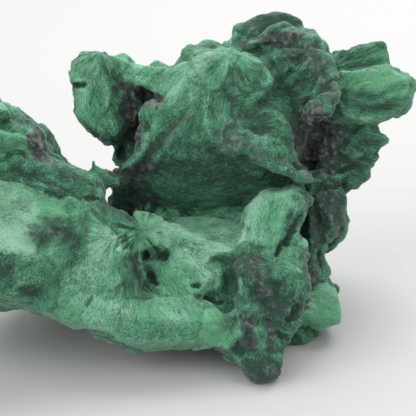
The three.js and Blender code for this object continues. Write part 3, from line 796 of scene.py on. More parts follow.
class Marks:
    """Reads strokes, patches and stars off the face for any set of points."""

    RAGGED = 0.45  # how far noise moves a patch's edge, in half-widths
    FADE = (0.55, 1.35)  # where a patch starts and ends to fade, in half-widths
    TAPER = 3.0  # mm over which a stroke tapers at its ends
    SPILL = 1.7  # how far a stroke spills past its half-width
    RIM = (0.65, 1.0)  # where a star's rays start and end to fade, as shares of their reach
    FAINTEST = 0.15  # the weakest rays that turn the weave

    def __init__(self, face: Face, points: np.ndarray, normals: np.ndarray) -> None:
        """Works out where each point appears and how far it faces forward.

        Args:
            face: the stone's face frame.
            points: the points, in the row frame.
            normals: the outward normal at each.
        """
        self.inner = face.inward(points)
        self.seen = face.seen(self.inner)
        self.front = smoothstep(-0.15, 0.25, -(normals @ face.turn.T)[:, 1])

    def patches(self, drawn: Sequence[Patch], ragged: np.ndarray) -> np.ndarray:
        """Finds the strongest patch at each point.

        Args:
            drawn: the patches.
            ragged: noise that moves their edges.

        Returns:
            Its strength, and 0 on the back.
        """
        strength = np.zeros(len(self.seen))
        for patch in drawn:
            angle = math.radians(patch.turn)
            away = self.seen - (patch.x, patch.rise)
            along = (away[:, 0] * math.cos(angle) + away[:, 1] * math.sin(angle)) / patch.wide
            across = (away[:, 1] * math.cos(angle) - away[:, 0] * math.sin(angle)) / patch.tall
            reach = np.hypot(along, across) + self.RAGGED * ragged
            strength = np.maximum(strength, patch.weight * (1 - smoothstep(*self.FADE, reach)))
        return strength * self.front

    def spread(self, stars: Sequence[Star], field: Field) -> None:
        """Turns the weave of the field round the stars, and notes their rays in it.

        Args:
            stars: what the fibres spread from.
            field: what the bundles give each point.
        """
        for star in stars:
            away = self.seen - (star.x, star.rise)
            run = np.linalg.norm(away, axis=1)
            share = star.weight * (1 - smoothstep(*self.RIM, run / star.reach)) * self.front
            inside = share > np.maximum(field.ray, self.FAINTEST)
            turn = unit(away[inside]) * star.rays
            field.weave[inside] = np.column_stack([turn, 0.1 * run[inside] + star.reach])
            field.ray[inside] = share[inside]

    def strokes(self, drawn: Sequence[Stroke]) -> np.ndarray:
        """Adds up what strokes give each point.

        Args:
            drawn: the strokes.

        Returns:
            Their lift, and 0 on the back.
        """
        height = np.zeros(len(self.seen))
        for stroke in drawn:
            path = np.array(stroke.path, float)
            low, high = path.min(0) - 3 * stroke.width, path.max(0) + 3 * stroke.width
            near = np.nonzero(((self.seen > low) & (self.seen < high)).all(1) & (self.front > 0))[0]
            spot, gap = self.seen[near], np.full(len(near), FAR)
            for start, end in zip(path[:-1], path[1:]):
                run = end - start
                share = np.clip((spot - start) @ run / (run @ run), 0, 1)
                gap = np.minimum(gap, np.linalg.norm(spot - start - share[:, None] * run, axis=1))
            ends = np.minimum(*(np.linalg.norm(spot - end, axis=1) for end in (path[0], path[-1])))
            side = np.clip(1 - gap / (self.SPILL * stroke.width), 0, 1) ** 1.2
            height[near] += stroke.lift * smoothstep(0.0, self.TAPER, ends) * side
        return height * self.front


class Fibres:
    """The bundles of fibres that cover the stone."""

    MOST = 120  # bundles that may be added
    SPACING = 8.5  # mm from a bundle's middle beyond which the stone counts as bare
    WARP = 6.0  # size, in mm, of the noise that bends the bundles
    BEND = 2.2  # how far it bends their edges, in mm
    STRAY = 0.35  # how far it bends their fibres, in mm
    SEAM = 0.09  # half-width of a seam, in half-widths of a bundle
    APART = 17.3  # sets the weave of one bundle apart from the next
    REACH = (5, 9)  # half-widths of the bundles that are added, in mm
    LIGHTNESS = (-0.25, 0.3)  # their lightness
    FOLD = (0.8, 1.5)  # their depth of folds

    def __init__(self, face: Face, sprays: Sequence[Spray], points: np.ndarray, seed: int) -> None:
        """Adds bundles of the stone's own over the parts that the given ones leave bare.

        Args:
            face: the stone's face frame.
            sprays: the bundles that are listed.
            points: points spread over the surface, in the row frame.
            seed: sets where the further bundles fan from.
        """
        self.face = face
        self.noise = Noise(seed)
        rng = np.random.default_rng(seed)
        inner = face.inward(points)
        centres = [np.array(s.centre) for s in sprays]
        roots = [np.array(s.root) for s in sprays]
        reaches = [np.array(s.reach) for s in sprays]
        tints, folds = [s.tint for s in sprays], [s.fold for s in sprays]
        gap = np.full(len(inner), FAR)
        for centre, reach in zip(centres, reaches):
            gap = np.minimum(gap, np.linalg.norm((inner - centre) / np.maximum(reach, 6), axis=1) * 7)
        middle = inner.mean(0)
        for _ in range(self.MOST):
            pick = int(np.argmax(gap))
            if gap[pick] < self.SPACING:
                break
            centre = inner[pick]
            aside = unit(rng.normal(size=3))
            roots.append(centre + 0.3 * (middle - centre) + 8.0 * aside)
            centres.append(centre)
            reaches.append(rng.uniform(*self.REACH, 3))
            tints.append(float(rng.uniform(*self.LIGHTNESS)))
            folds.append(float(rng.uniform(*self.FOLD)))
            gap = np.minimum(gap, np.linalg.norm(inner - centre, axis=1))
        self.centres, self.roots, self.reaches = map(np.array, (centres, roots, reaches))
        self.tints, self.folds = np.array(tints), np.array(folds)

    def read(self, points: np.ndarray) -> Field:
        """Finds the bundle that each point belongs to.

        Args:
            points: the points, in the row frame.

        Returns:
            What the bundles give the points.
        """
        inner = self.face.inward(points)
        warp = np.stack([self.noise.fractal(inner / self.WARP + k * 31.7, 2) for k in range(3)], axis=1)
        bent = inner + self.BEND * warp
        gaps = np.empty((len(self.centres), len(points)))
        for k, (centre, reach) in enumerate(zip(self.centres, self.reaches)):
            gaps[k] = np.linalg.norm((bent - centre) / reach, axis=1)
        order = np.argpartition(gaps, 1, axis=0)[:2]
        pair = np.take_along_axis(gaps, order, axis=0)
        nearest = np.where(pair[0] <= pair[1], order[0], order[1])
        margin = np.abs(pair[0] - pair[1])
        away = inner + self.STRAY * warp - self.roots[nearest]
        run = np.linalg.norm(away, axis=1)
        heading = away / np.maximum(run, 1e-6)[:, None]
        span = np.linalg.norm(self.centres - self.roots, axis=1)[nearest]
        along = np.maximum(span, 4.0) + 0.15 * run
        return Field(
            way=heading @ self.face.turn,
            weave=heading * along[:, None] + nearest[:, None] * self.APART,
            seam=np.exp(-((margin / self.SEAM) ** 2)),
            tint=self.tints[nearest],
            fold=self.folds[nearest],
            ray=np.zeros(len(points)),
        )


def object_of(name: str, data: bpy.types.ID) -> bpy.types.Object:
    """Adds an object to the scene.

    Args:
        name: its name.
        data: the mesh, light or camera that it shows.

    Returns:
        The object, at the origin.
    """
    made = bpy.data.objects.new(name, data)
    bpy.context.scene.collection.objects.link(made)
    return made


def worked(piece: bpy.types.Object, kind: str, **settings: Any) -> None:
    """Gives an object a modifier and makes its result the object's mesh.

    Args:
        piece: the object.
        kind: the modifier's type.
        settings: its settings.
    """
    modifier = piece.modifiers.new(kind.lower(), kind)
    for key, value in settings.items():
        setattr(modifier, key, value)
    shown = piece.evaluated_get(bpy.context.evaluated_depsgraph_get())
    mesh = bpy.data.meshes.new_from_object(shown)
    piece.modifiers.clear()
    old, piece.data = piece.data, mesh
    bpy.data.meshes.remove(old)


def triangles(mesh: bpy.types.Mesh) -> int:
    """Returns how many triangles the mesh's faces make."""
    return sum(len(face.vertices) - 2 for face in mesh.polygons)


def eased(fold: np.ndarray) -> np.ndarray:
    """Returns depths of fold brought nearer to 1."""
    return 0.4 + 0.6 * fold


@dataclass
class Stone:
    """The whole stone, carved from a copy of its plain solid.

    Attributes:
        source: the plain solid's object.
        face: the stone's face frame.
        rough_size: voxel at which the mass is fused, in mm.
        fine_size: voxel at which the folds are fused, in mm.
        most: the most triangles that it keeps.
        stroke_height: how high a stroke of lift 1 is raised.
        swell, pleat, rib: swellings, folds and ribs raised on the mass.
        lump: lumps of the crumbly places.
        back_rib, back_fold: ribs and folds that stand on the back alone.
        thread, rough, grit, pock: fibres, unevenness, crumbs and small holes of the fine mesh.
        rubble_edge, crust_edge, pit_edge, lightness_edge: noise that tears the edges of patches.
        wild: noise that sets where crust lies on the back.
        back_tint: noise that lightens and darkens the back.
        seam_depth: depth of the seams in the folds.
        seam_cut: depth of the seams in the fibres.
        level: heights above the floor between which the relief grows from nothing to full.
        fibres: the bundles, once the mass has been made.
    """

    source: bpy.types.Object
    face: Face
    rough_size: float = 0.62
    fine_size: float = 0.44
    most: int = 194000
    stroke_height: float = 0.9
    swell: Wave = Wave(0.3, 8.0, 3)
    pleat: Wave = Wave(0.7, 3.6, 2, steps=2.2)
    rib: Wave = Wave(0.25, 2.0, shift=5.0)
    lump: Wave = Wave(0.9, 2.6, 3, shift=40.0, gain=0.6)
    back_rib: Wave = Wave(0.5, 5.2, shift=3.0)
    back_fold: Wave = Wave(1.6, 9.0, 2, steps=1.6, shift=12.0)
    thread: Wave = Wave(0.22, 1.5, 2, steps=3.0)
    rough: Wave = Wave(0.1, 2.1, 3)
    grit: Wave = Wave(0.22, 1.5, 2, shift=70.0)
    pock: Wave = Wave(0.45, 1.7, 2, shift=20.0)
    rubble_edge: Wave = Wave(1.0, 4.0)
    crust_edge: Wave = Wave(1.0, 2.2, 3)
    pit_edge: Wave = Wave(1.5, 1.1, 2)
    lightness_edge: Wave = Wave(1.0, 3.0, 2)
    wild: Wave = Wave(1.0, 8.0, 3, shift=50.0)
    back_tint: Wave = Wave(1.1, 9.0, 2)
    seam_depth: float = 0.35
    seam_cut: float = 0.2
    level: Pair = (0.25, 1.6)
    fibres: Fibres | None = None

    def plate(self, form: bmesh.types.BMesh, plate: Plate) -> None:
        """Adds a plate to the mass.

        Args:
            form: the mass, in mm.
            plate: what is added.
        """
        corners = np.array(plate.outline)
        ring = []
        for start, end in zip(corners, np.roll(corners, -1, axis=0)):
            steps = max(1, round(float(np.linalg.norm(end - start))))
            ring += [start + (end - start) * k / steps for k in range(steps)]
        ring = np.array(ring)
        noise = Noise(Seed.RIMS)
        spot = np.column_stack([ring, np.full(len(ring), 0.5)])
        ring = ring + plate.jag * np.column_stack([noise.gradient(spot + k) for k in (3.3, 9.7)])
        depth = plate.depth + (ring - corners.mean(0)) @ plate.lean
        grown = ring * (1 + depth / EYE)[:, None]
        front = np.column_stack([grown[:, 0], depth, grown[:, 1]])
        sheet = form.faces.new([form.verts.new(spot) for spot in self.face.outward(front)])
        made = bmesh.ops.extrude_face_region(form, geom=[sheet])["geom"]
        back = [part for part in made if isinstance(part, bmesh.types.BMVert)]
        bmesh.ops.translate(form, vec=Vector(plate.thick * self.face.turn[1]), verts=back)
        rest = dict.fromkeys(face for vert in back for face in vert.link_faces)
        bmesh.ops.recalc_face_normals(form, faces=[sheet, *rest])

    def mass(self) -> bpy.types.Object:
        """Fuses and softens a copy of the solid with its knobs and plates.

        Returns:
            The rough stone, in mm.
        """
        form = bmesh.new()
        form.from_mesh(self.source.data)
        bmesh.ops.remove_doubles(form, verts=form.verts, dist=1e-6)
        bmesh.ops.scale(form, vec=(1 / MM,) * 3, verts=form.verts)
        lean = Matrix.Rotation(-LEAN, 4, "X")
        for knob in KNOBS:
            made = bmesh.ops.create_icosphere(form, subdivisions=3, radius=1.0)
            turn = Euler([math.radians(a) for a in knob.turn]).to_matrix().to_4x4()
            place = Matrix.Translation(Vector(self.face.outward(np.array(knob.centre))))
            size = Matrix.Diagonal((*knob.size, 1.0))
            bmesh.ops.transform(form, matrix=place @ lean @ turn @ size, verts=made["verts"])
        for plate in PLATES:
            self.plate(form, plate)
        mesh = bpy.data.meshes.new("stone")
        form.to_mesh(mesh)
        form.free()
        piece = object_of("stone", mesh)
        worked(piece, "REMESH", mode="VOXEL", voxel_size=self.rough_size)
        skin = Surface(piece.data)
        skin.points = skin.relaxed(skin.points, 2)
        skin.store()
        return piece

    def read(self, points: np.ndarray, normals: np.ndarray) -> tuple[Marks, Field]:
        """Reads what is drawn on the face and what the bundles give.

        Args:
            points: the points, in the row frame.
            normals: the outward normal at each.

        Returns:
            The marks, and the field with its stars spread.
        """
        marks = Marks(self.face, points, normals)
        field = self.fibres.read(points)
        marks.spread(STARS, field)
        return marks, field

    def raised(self, skin: Surface, normals: np.ndarray, height: np.ndarray) -> None:
        """Raises the surface, but holds the resting patches flat and all else above them.

        Args:
            skin: the surface.
            normals: which way each point is raised.
            height: how far, in mm.
        """
        low, before = self.face.low[2], skin.points
        clear = smoothstep(*self.level, before[:, 2] - low)
        moved = before + normals * height[:, None]
        skin.points = before + (moved - before) * clear[:, None]
        skin.points[:, 2] = np.maximum(skin.points[:, 2], low)
        skin.store()

    def folded(self, piece: bpy.types.Object) -> None:
        """Raises ridges, folds and swellings on the rough mass.

        Args:
            piece: the rough stone, in mm.
        """
        skin = Surface(piece.data)
        normals = unit(skin.relaxed(skin.normals(), 4))
        marks, field = self.read(skin.points, normals)
        noise = Noise(Seed.FOLDS)
        inner, weave, fold = marks.inner, field.weave, field.fold
        height = self.stroke_height * marks.strokes(STROKES)
        height += self.swell.height * self.swell.read(noise, inner) * eased(fold)
        height += self.pleat.height * fold * self.pleat.read(noise, weave)
        height += self.rib.height * fold * (1.8 * np.abs(self.rib.read(noise, weave)) - 0.6)
        height -= self.seam_depth * field.seam * fold
        rubble = marks.patches(RUBBLE, self.rubble_edge.read(noise, inner))
        height += self.lump.height * rubble * self.lump.read(noise, inner) - 0.2 * rubble
        behind = 1 - marks.front
        height += self.back_rib.height * behind * (0.35 - 1.8 * np.abs(self.back_rib.read(noise, weave)))
        height += self.back_fold.height * behind * self.back_fold.read(noise, weave)
        self.raised(skin, normals, height)

    def crust(self, marks: Marks) -> np.ndarray:
        """Lays dark crust in its patches and veins, and at random on the back.

        Args:
            marks: the marks of the points that are asked about.

        Returns:
            How thickly crust covers each point, 0 to 1.
        """
        noise = Noise(Seed.GRAIN)
        ragged = self.crust_edge.read(noise, marks.inner)
        drawn = np.maximum(marks.patches(CRUSTS, ragged), marks.strokes(VEINS) * (0.8 + 0.9 * ragged))
        wild = smoothstep(0.42, 0.8, self.wild.read(noise, marks.inner))
        wild = wild * (1 - marks.front) * 0.9 + wild * marks.front * 0.25
        return np.clip(np.maximum(drawn, wild), 0, 1)

    def pits(self, marks: Marks) -> np.ndarray:
        """Returns how deep in a torn hole each point lies, 0 to 1."""
        edge = self.pit_edge.height * self.pit_edge.read(Noise(Seed.GRAIN), marks.inner)
        return marks.patches(PITS, edge)

    def grained(self, piece: bpy.types.Object) -> None:
        """Cuts fibres, seams, crumbs and holes into the fine mesh.

        Args:
            piece: the folded stone, in mm.
        """
        skin = Surface(piece.data)
        skin.points = skin.relaxed(skin.points, 1)
        normals = unit(skin.relaxed(skin.normals(), 3))
        marks, field = self.read(skin.points, normals)
        noise = Noise(Seed.GRAIN)
        inner, crust = marks.inner, self.crust(marks)
        fold = field.fold + field.ray
        height = self.thread.height * eased(fold) * self.thread.read(noise, field.weave)
        height -= self.seam_cut * field.seam * fold
        height += self.rough.height * fold * self.rough.read(noise, inner)
        grit = np.maximum(crust, 0.7 * marks.patches(RUBBLE, self.rubble_edge.read(noise, inner)))
        height = height * (1 - 0.4 * grit) + grit * (0.55 * (0.5 - noise.cells(inner)) + 0.05)
        height += self.grit.height * grit * self.grit.read(noise, inner)
        height -= self.pits(marks)
        pocks = smoothstep(0.5, 0.9, self.pock.read(noise, inner))
        height -= self.pock.height * pocks * (0.1 * fold + 0.7 * crust)
        self.raised(skin, normals, height)

    def marked(self, piece: bpy.types.Object) -> None:
        """Stores on the mesh what the finish reads.

        Args:
            piece: the carved stone, in mm.
        """
        skin = Surface(piece.data)
        soft = unit(skin.relaxed(skin.normals(), 4))
        marks, field = self.read(skin.points, soft)
        fine = dots(skin.points - skin.relaxed(skin.points, 3), soft)
        broad = dots(skin.points - skin.relaxed(skin.points, 24), soft)
        ragged = self.lightness_edge.read(Noise(Seed.EDGES), marks.inner)
        # Each bundle's lightness, raised on pale-green places and by painted light, lowered on deep-green
        # places and by painted shade.
        tint = field.tint + marks.patches(PALE_GREEN_AND_PAINTED_LIGHT, ragged) - 1.1 * marks.patches(DEEP_GREEN_AND_PAINTED_SHADE, ragged)
        # Painted shade in the small holes.
        tint -= 1.5 * self.pits(marks)
        # Painted highlights along thin rims.
        tint += marks.strokes(GLINTS)
        back = self.back_tint.read(Noise(Seed.BACK), marks.inner)
        tint += self.back_tint.height * (1 - marks.front) * back
        skin.mark(Layer.WEAVE, field.weave)
        skin.mark(Layer.RAY, field.ray)
        skin.mark(Layer.CRUST, self.crust(marks))
        # Painted form light from the bulge at two scales: painted highlight on crests, painted shade in
        # hollows.
        skin.mark(Layer.PAINTED_FORM_LIGHT, np.clip(0.5 + 2.2 * fine + 0.55 * broad, 0, 1))
        skin.mark(Layer.LIGHTNESS, tint)

    def build(self, finish: "Malachite") -> bpy.types.Object:
        """Carves, marks and dresses the stone.

        Args:
            finish: the material that it wears.

        Returns:
            The finished piece, in metres.
        """
        piece = self.mass()
        self.fibres = Fibres(self.face, SPRAYS, Surface(piece.data).points, Seed.BUNDLES)
        self.folded(piece)
        worked(piece, "REMESH", mode="VOXEL", voxel_size=self.fine_size)
        self.grained(piece)
        worked(piece, "DECIMATE", ratio=min(1.0, self.most / triangles(piece.data)))
        self.marked(piece)
        piece.data.transform(Matrix.Scale(MM, 4))
        piece.data.shade_smooth()
        piece.data.materials.clear()
        piece.data.materials.append(finish.material())
        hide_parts("malachite")
        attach(piece, "root")
        return piece


@dataclass
class Splinters:
    """Fine splinters that lie along the fibres all over the stone.

    They are written as one mesh in one go, because there are too many for an operator each.

    Attributes:
        stone: the finished stone, whose surface carries them.
        fibres: the bundles that they follow.
        count: how many are sown.
        seed: sets their places and sizes.
        length: least and greatest length, in mm.
        width: least and greatest half-width, in mm.
        lift: least and greatest slope away from the surface.
        stray: how far they turn aside, as a slope.
        sunk: how deep their middles lie, in mm.
        clear: how far from the floor they stay, in mm.
        bare: how thick the crust is on which none grow.
    """

    stone: bpy.types.Object
    fibres: Fibres
    count: int = 24000
    seed: int = Seed.SPLINTERS
    length: Pair = (0.7, 1.9)
    width: Pair = (0.06, 0.15)
    lift: Pair = (0.0, 0.09)
    stray: float = 0.08
    sunk: float = 0.04
    clear: float = 0.7
    bare: float = 0.6

    def sown(self, rng: np.random.Generator) -> tuple[np.ndarray, np.ndarray, np.ndarray, np.ndarray]:
        """Scatters the splinters over the stone, thinly where there is crust.

        Args:
            rng: the source of chance.

        Returns:
            Points in mm, with the outward normal, crust and lightness at each.
        """
        mesh = self.stone.data
        skin = Surface(mesh)
        normals, crusts, tints = skin.normals(), skin.layer(Layer.CRUST), skin.layer(Layer.LIGHTNESS)
        mesh.calc_loop_triangles()
        corners = np.empty(len(mesh.loop_triangles) * 3, np.int32)
        mesh.loop_triangles.foreach_get("vertices", corners)
        corners = corners.reshape(-1, 3)
        first, second, third = (skin.points[corners[:, k]] for k in range(3))
        area = np.linalg.norm(np.cross(second - first, third - first), axis=1)
        weight = area * (1.0 - 0.85 * crusts[corners[:, 0]])
        pick = rng.choice(len(corners), self.count, p=weight / weight.sum())
        share = rng.random((self.count, 2))
        share = np.where((share.sum(1) > 1)[:, None], 1 - share, share)
        spread = np.concatenate([1 - share.sum(1, keepdims=True), share], axis=1)
        at = corners[pick]
        points = np.einsum("ij,ijk->ik", spread, skin.points[at]) / MM
        outward = unit(np.einsum("ij,ijk->ik", spread, normals[at]))
        return points, outward, crusts[at[:, 0]], tints[at[:, 0]]

    def build(self, finish: "Malachite") -> bpy.types.Object:
        """Makes and dresses the splinters.

        Args:
            finish: the material that they wear.

        Returns:
            The finished piece, in metres.
        """
        rng = np.random.default_rng(self.seed)
        points, outward, crust, tint = self.sown(rng)
        field = self.fibres.read(points)
        along = field.way - outward * dots(field.way, outward)[:, None]
        flat = np.linalg.norm(along, axis=1)
        kept = (points[:, 2] > self.clear) & (flat > 0.25) & (crust < self.bare)
        points, outward, along, tint = points[kept], outward[kept], unit(along[kept]), tint[kept]
        count = len(points)
        length = (rng.uniform(*self.length, count) * (0.6 + 0.4 * field.fold[kept]))[:, None]
        width = rng.uniform(*self.width, count)[:, None]
        lift = rng.uniform(*self.lift, count)[:, None]
        side = np.cross(outward, along)
        axis = unit(along + outward * lift + side * rng.normal(0, self.stray, count)[:, None])
        base = points - 0.45 * length * axis - self.sunk * outward
        middle = base + 0.4 * length * axis
        rise = -unit(np.cross(axis, side))
        rise *= np.sign(dots(rise, outward))[:, None]
        left, right, top = middle + width * side, middle - width * side, middle + 0.9 * width * rise
        shape = np.stack([base, left, top, right, base + length * axis], axis=1)
        edge = np.cross(shape[:, 1] - shape[:, 0], shape[:, 2] - shape[:, 0])
        turned = dots(edge, outward) < 0
        sides = np.array([(0, 1, 2), (0, 2, 3), (0, 3, 1), (4, 2, 1), (4, 3, 2), (4, 1, 3)])
        every = sides[None] + 5 * np.arange(count)[:, None, None]
        every[turned] = every[turned][:, :, ::-1]
        mesh = bpy.data.meshes.new("splinters")
        mesh.from_pydata((shape.reshape(-1, 3) * MM).tolist(), [], every.reshape(-1, 3).tolist())
        skin = Surface(mesh)
        skin.mark(Layer.WEAVE, np.repeat(field.weave[kept], 5, axis=0))
        skin.mark(Layer.CRUST, np.zeros(5 * count))
        skin.mark(Layer.RAY, np.zeros(5 * count))
        # Painted form light on each splinter: painted highlight on its top and tip, painted shade at its
        # base.
        skin.mark(Layer.PAINTED_FORM_LIGHT, np.tile([0.35, 0.5, 0.75, 0.5, 0.7], count))
        # The lightness of the stone beneath, with its painted light and shade, varied at random.
        skin.mark(Layer.LIGHTNESS, np.repeat(tint + rng.normal(0.0, 0.25, count), 5))
        mesh.materials.append(finish.material())
        piece = object_of("splinters", mesh)
        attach(piece, "root")
        return piece


def wired(
    tree: bpy.types.NodeTree,
    kind: str,
    settings: dict[str, Any] | None = None,
    out: int | str = 0,
    **sockets: Any,
) -> "Wire | None":
    """Adds a node to a material.

    Args:
        tree: the material's node tree.
        kind: the node's type, without its ShaderNode prefix.
        settings: properties of the node, set first.
        out: the output that is returned.
        sockets: values or wires by socket name, with underscores for spaces, or by _number.

    Returns:
        The chosen output, or None for a node that has none.
    """
    node = tree.nodes.new("ShaderNode" + kind)
    for key, value in (settings or {}).items():
        setattr(node, key, value)
    for key, value in sockets.items():
        socket = node.inputs[int(key[1:])] if key[0] == "_" else node.inputs[key.replace("_", " ")]
        if isinstance(value, Wire):
            tree.links.new(value.socket, socket)
        else:
            socket.default_value = value
    return Wire(tree, node.outputs[out]) if node.outputs else None


class Wire:
    """A socket that adds its own nodes when it is used in arithmetic."""

    def __init__(self, tree: bpy.types.NodeTree, socket: bpy.types.NodeSocket) -> None:
        """Wraps one output socket of a node tree."""
        self.tree = tree
        self.socket = socket

    def _math(self, operation: str, first: Any, second: Any) -> "Wire":
        """Returns the result of a Math node on two numbers or wires."""
        return wired(self.tree, "Math", {"operation": operation}, _0=first, _1=second)

    def __add__(self, other: Any) -> "Wire":
        """Returns the sum."""
        return self._math("ADD", self, other)

    __radd__ = __add__

    def __mul__(self, other: Any) -> "Wire":
        """Returns the product."""
        return self._math("MULTIPLY", self, other)

    __rmul__ = __mul__

    def __sub__(self, other: Any) -> "Wire":
        """Returns the difference."""
        return self._math("SUBTRACT", self, other)

    def __rsub__(self, other: Any) -> "Wire":
        """Returns the difference the other way round."""
        return self._math("SUBTRACT", other, self)

    def between(self, low: float, high: float) -> "Wire":
        """Returns a smooth rise from 0 at low to 1 at high."""
        smooth = {"interpolation_type": "SMOOTHSTEP"}
        return wired(self.tree, "MapRange", smooth, Value=self, From_Min=low, From_Max=high)


class Shader:
    """A material whose nodes are being added."""

    MIX_SOCKETS = ("_0", "_6", "_7")  # a colour Mix node's factor and colours
    MIX_RESULT = 2

    def __init__(self, name: str) -> None:
        """Starts an empty material.

        Args:
            name: its name.
        """
        self.material = bpy.data.materials.new(name)
        self.material.use_nodes = True
        self.tree = self.material.node_tree
        self.tree.nodes.clear()

    def node(self, kind: str, *chosen: Any, **sockets: Any) -> Wire:
        """Returns the output of a new node, as wired does."""
        return wired(self.tree, kind, *chosen, **sockets)

    def mix(self, share: Any, first: Any, second: Any) -> Wire:
        """Returns a colour between two others."""
        sockets = dict(zip(self.MIX_SOCKETS, (share, first, second)))
        return self.node("Mix", {"data_type": "RGBA"}, self.MIX_RESULT, **sockets)

    def layer(self, layer: Layer) -> Wire:
        """Returns what the mesh stores as the layer."""
        out = "Vector" if layer is Layer.WEAVE else "Fac"
        return self.node("Attribute", {"attribute_name": layer.value}, out)

    def noise(self, place: Wire, scale: float, detail: float, roughness: float = 0.6) -> Wire:
        """Returns noise read at a place."""
        return self.node("TexNoise", Vector=place, Scale=scale, Detail=detail, Roughness=roughness)

    def dressed(self, surface: Wire) -> bpy.types.Material:
        """Returns the material, which shows the surface."""
        self.node("OutputMaterial", Surface=surface)
        return self.material


@dataclass(frozen=True)
class Malachite:
    """The stone's finish: silky fibres from deep green to mint, under dark crust.

    Attributes:
        deep, green, mint, vivid: the stone's own colours, from deep to pale; the lightness and the painted
            form light choose among them, so hollows take deeper ones as painted shade and crests paler ones
            as painted highlight.
        soot, ash, sand_and_highlight: the crust's colours; soot and ash mix at random, and the pale one
            shows where crumbs and the painted form light are high, partly as the crust's own pale specks
            and partly as painted highlight on crests.
        by_lightness, by_painted_form_light: how much tint and crest lighten the stone.
        by_lightness, by_painted_form_light: how much the lightness and the painted form light, which is
            painted highlight on crests and painted shade in hollows, lighten the stone.
        by_ray: how much streaks count where there are rays.
        base: what is added to the lightness everywhere.
        painted_sparkle, deep_dust: how strongly pale specks, a painted sparkle that stands in for glints of
            the fibres, and deep specks show.
        relief: strength of the bump.
        relief_height: its height, in metres.
    """

    deep: Colour = (0.014, 0.046, 0.030, 1)
    green: Colour = (0.046, 0.185, 0.102, 1)
    mint: Colour = (0.225, 0.455, 0.320, 1)
    vivid: Colour = (0.075, 0.330, 0.150, 1)
    soot: Colour = (0.016, 0.023, 0.021, 1)
    ash: Colour = (0.074, 0.090, 0.086, 1)
    sand_and_highlight: Colour = (0.19, 0.205, 0.19, 1)
    by_lightness: float = 0.55
    by_painted_form_light: float = 0.7
    by_streak: float = 0.8
    by_thread: float = 1.5
    by_cloud: float = 0.6
    by_felt: float = 0.6
    by_grain: float = 0.5
    by_ray: float = 2.6
    base: float = -0.03
    painted_sparkle: float = 0.15
    deep_dust: float = 0.45
    relief: float = 0.55
    relief_height: float = 0.00035

    def material(self) -> bpy.types.Material:
        """Wires up the finish.

        Returns:
            The node material.
        """
        shader = Shader("malachite")
        weave, crust, crest, tint, ray = map(
            shader.layer, (Layer.WEAVE, Layer.CRUST, Layer.PAINTED_FORM_LIGHT, Layer.LIGHTNESS, Layer.RAY)
        )
        place = shader.node("TexCoord", None, "Object")
        streak = shader.noise(weave, 1.2, 2.0)
        thread = shader.noise(weave, 3.2, 1.0)
        felt = shader.noise(place, 2600.0, 2.0)
        cloud = shader.noise(place, 110.0, 3.0, 0.55)
        crumb = shader.noise(place, 900.0, 3.0, 0.65)
        grain = shader.noise(place, 4200.0, 1.0)
        drift = shader.noise(place, 75.0, 2.0)
        # Lightness of the colour: the lightness layer, with its painted light and shade, and the painted
        # form light, painted highlight on crests and painted shade in hollows.
        light = self.by_lightness * tint + self.by_painted_form_light * crest
        for weight, noise in (
            (self.by_streak, streak),
            (self.by_thread, thread),
            (self.by_cloud, cloud),
            (self.by_felt, felt),
            (self.by_grain, grain),
        ):
            light = light + weight * (noise - 0.5)
        light = light + ray * (self.by_ray * (streak - 0.5) + 0.1) + self.base
        body = shader.mix(light.between(-0.35, 0.55), self.deep, self.green)
        pale = shader.mix((drift + 0.5 * (streak - 0.5)).between(0.42, 0.62) * 0.75, self.mint, self.vivid)
        body = shader.mix(light.between(0.25, 1.35), body, pale)
        speck = grain + 0.6 * (felt - 0.5)
        # Painted sparkle: pale mint specks that stand in for glints of the fibres.
        body = shader.mix(speck.between(0.60, 0.76) * self.painted_sparkle, body, self.mint)
        body = shader.mix((1 - speck).between(0.54, 0.72) * self.deep_dust, body, self.deep)
        crust_and_highlight = shader.mix(crumb.between(0.35, 0.7), self.soot, self.ash)
        # Pale crust where crumbs and the painted form light are high: partly the crust's own pale specks,
        # partly painted highlight on crests.
        crust_and_highlight = shader.mix((crumb + 0.5 * crest).between(0.86, 1.05) * 0.5, crust_and_highlight, self.sand_and_highlight)
        cover = (crust + 1.1 * (crumb - 0.5) + 0.7 * (cloud - 0.5) + 0.6 * (streak - 0.5)).between(0.3, 1.0)
        height = 0.5 * thread + 0.6 * streak + 0.6 * felt + 0.5 * crumb
        bump = shader.node("Bump", Strength=self.relief, Distance=self.relief_height, Height=height)
        return shader.dressed(
            shader.node(
                "BsdfPrincipled",
                Base_Color=shader.mix(cover, body, crust_and_highlight),
                Roughness=0.62 + 0.25 * felt,
                Normal=bump,
                Sheen_Weight=0.25,
                Sheen_Roughness=0.4,
                Specular_IOR_Level=0.35,
            )
        )


@dataclass(frozen=True)
class Lamp:
    """A soft square lamp.

    Attributes:
        name: its name.
        place: where it hangs, in metres.
        size: its width, in metres.
        power: its power, in watts.
    """

    name: str
    place: Triple
    size: float
    power: float

    def hang(self, aim: Triple) -> None:
        """Adds the lamp to the scene.

        Args:
            aim: the point that it faces, in metres.
        """
        light = bpy.data.lights.new(self.name, "AREA")
        light.size, light.energy = self.size, self.power
        lamp = object_of(self.name, light)
        lamp.location = self.place
        lamp.rotation_mode = "QUATERNION"
        lamp.rotation_quaternion = (Vector(aim) - Vector(self.place)).to_track_quat("-Z", "Y")


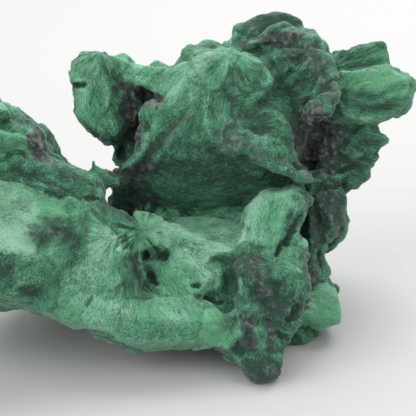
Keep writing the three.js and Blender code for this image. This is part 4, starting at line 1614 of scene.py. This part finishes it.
@dataclass(frozen=True)
class Studio:
    """The plain floor, soft light and camera.

    Attributes:
        face: the stone's face frame.
        floor_size: half the floor's width, in metres.
        floor_colour: the floor's colour.
        sky: strength of the light from all round.
        aim: the point that the lamps face, in metres.
        lamps: the lamps.
        lens: the camera's focal length, in mm.
        sensor: the width of its sensor, in mm.
        clip: the nearest and farthest that it sees, in metres.
    """

    face: Face
    floor_size: float = 2.0
    floor_colour: Colour = (0.53, 0.53, 0.528, 1)
    sky: float = 0.43
    aim: Triple = (0.0, 0.0, 0.03)
    lamps: tuple[Lamp, ...] = (
        Lamp("key", (0.12, 0.34, 0.57), 0.7, 5.8),
        Lamp("fill", (-0.46, -0.34, 0.36), 0.6, 3.2),
        Lamp("edge", (0.46, -0.34, 0.40), 0.6, 1.6),
    )
    lens: float = 120.0
    sensor: float = 36.0
    clip: Pair = (0.01, 10.0)

    def floor(self) -> None:
        """Lays a pale floor under the stone."""
        form = bmesh.new()
        bmesh.ops.create_grid(form, x_segments=1, y_segments=1, size=self.floor_size)
        mesh = bpy.data.meshes.new("floor")
        form.to_mesh(mesh)
        form.free()
        shader = Shader("floor")
        plain_finish = shader.node("BsdfPrincipled", Base_Color=self.floor_colour, Roughness=0.9)
        mesh.materials.append(shader.dressed(plain_finish))
        object_of("floor", mesh)

    def lights(self) -> None:
        """Sets the sky and the lamps."""
        world = bpy.data.worlds.new("studio")
        world.use_nodes = True
        sky = world.node_tree.nodes["Background"]
        sky.inputs["Color"].default_value = (1, 1, 1, 1)
        sky.inputs["Strength"].default_value = self.sky
        bpy.context.scene.world = world
        for lamp in self.lamps:
            lamp.hang(self.aim)
        bpy.context.scene.view_settings.view_transform = "Standard"

    def camera(self) -> None:
        """Places the camera square to the stone's face."""
        camera = bpy.data.cameras.new("camera")
        camera.lens, camera.sensor_width = self.lens, self.sensor
        camera.clip_start, camera.clip_end = self.clip
        eye = object_of("camera", camera)
        eye.location = Vector(self.face.outward(np.array((0.0, -EYE, 0.0)))) * MM
        eye.rotation_euler = (math.pi / 2 - LEAN, 0, 0)
        bpy.context.scene.camera = eye


def main() -> None:
    """Builds the stone, its splinters and the studio, and logs the triangles of each piece."""
    logging.basicConfig(level=logging.INFO, format="%(message)s")
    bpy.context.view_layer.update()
    face = Face(*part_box("malachite"))
    finish = Malachite()
    stone = Stone(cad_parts["malachite"], face)
    body = stone.build(finish)
    splinters = Splinters(body, stone.fibres).build(finish)
    for piece in (body, splinters):
        log.info("%s: %d triangles", piece.name, triangles(piece.data))
    studio = Studio(face)
    studio.floor()
    studio.lights()
    studio.camera()


if __name__ == "__main__":
    main()
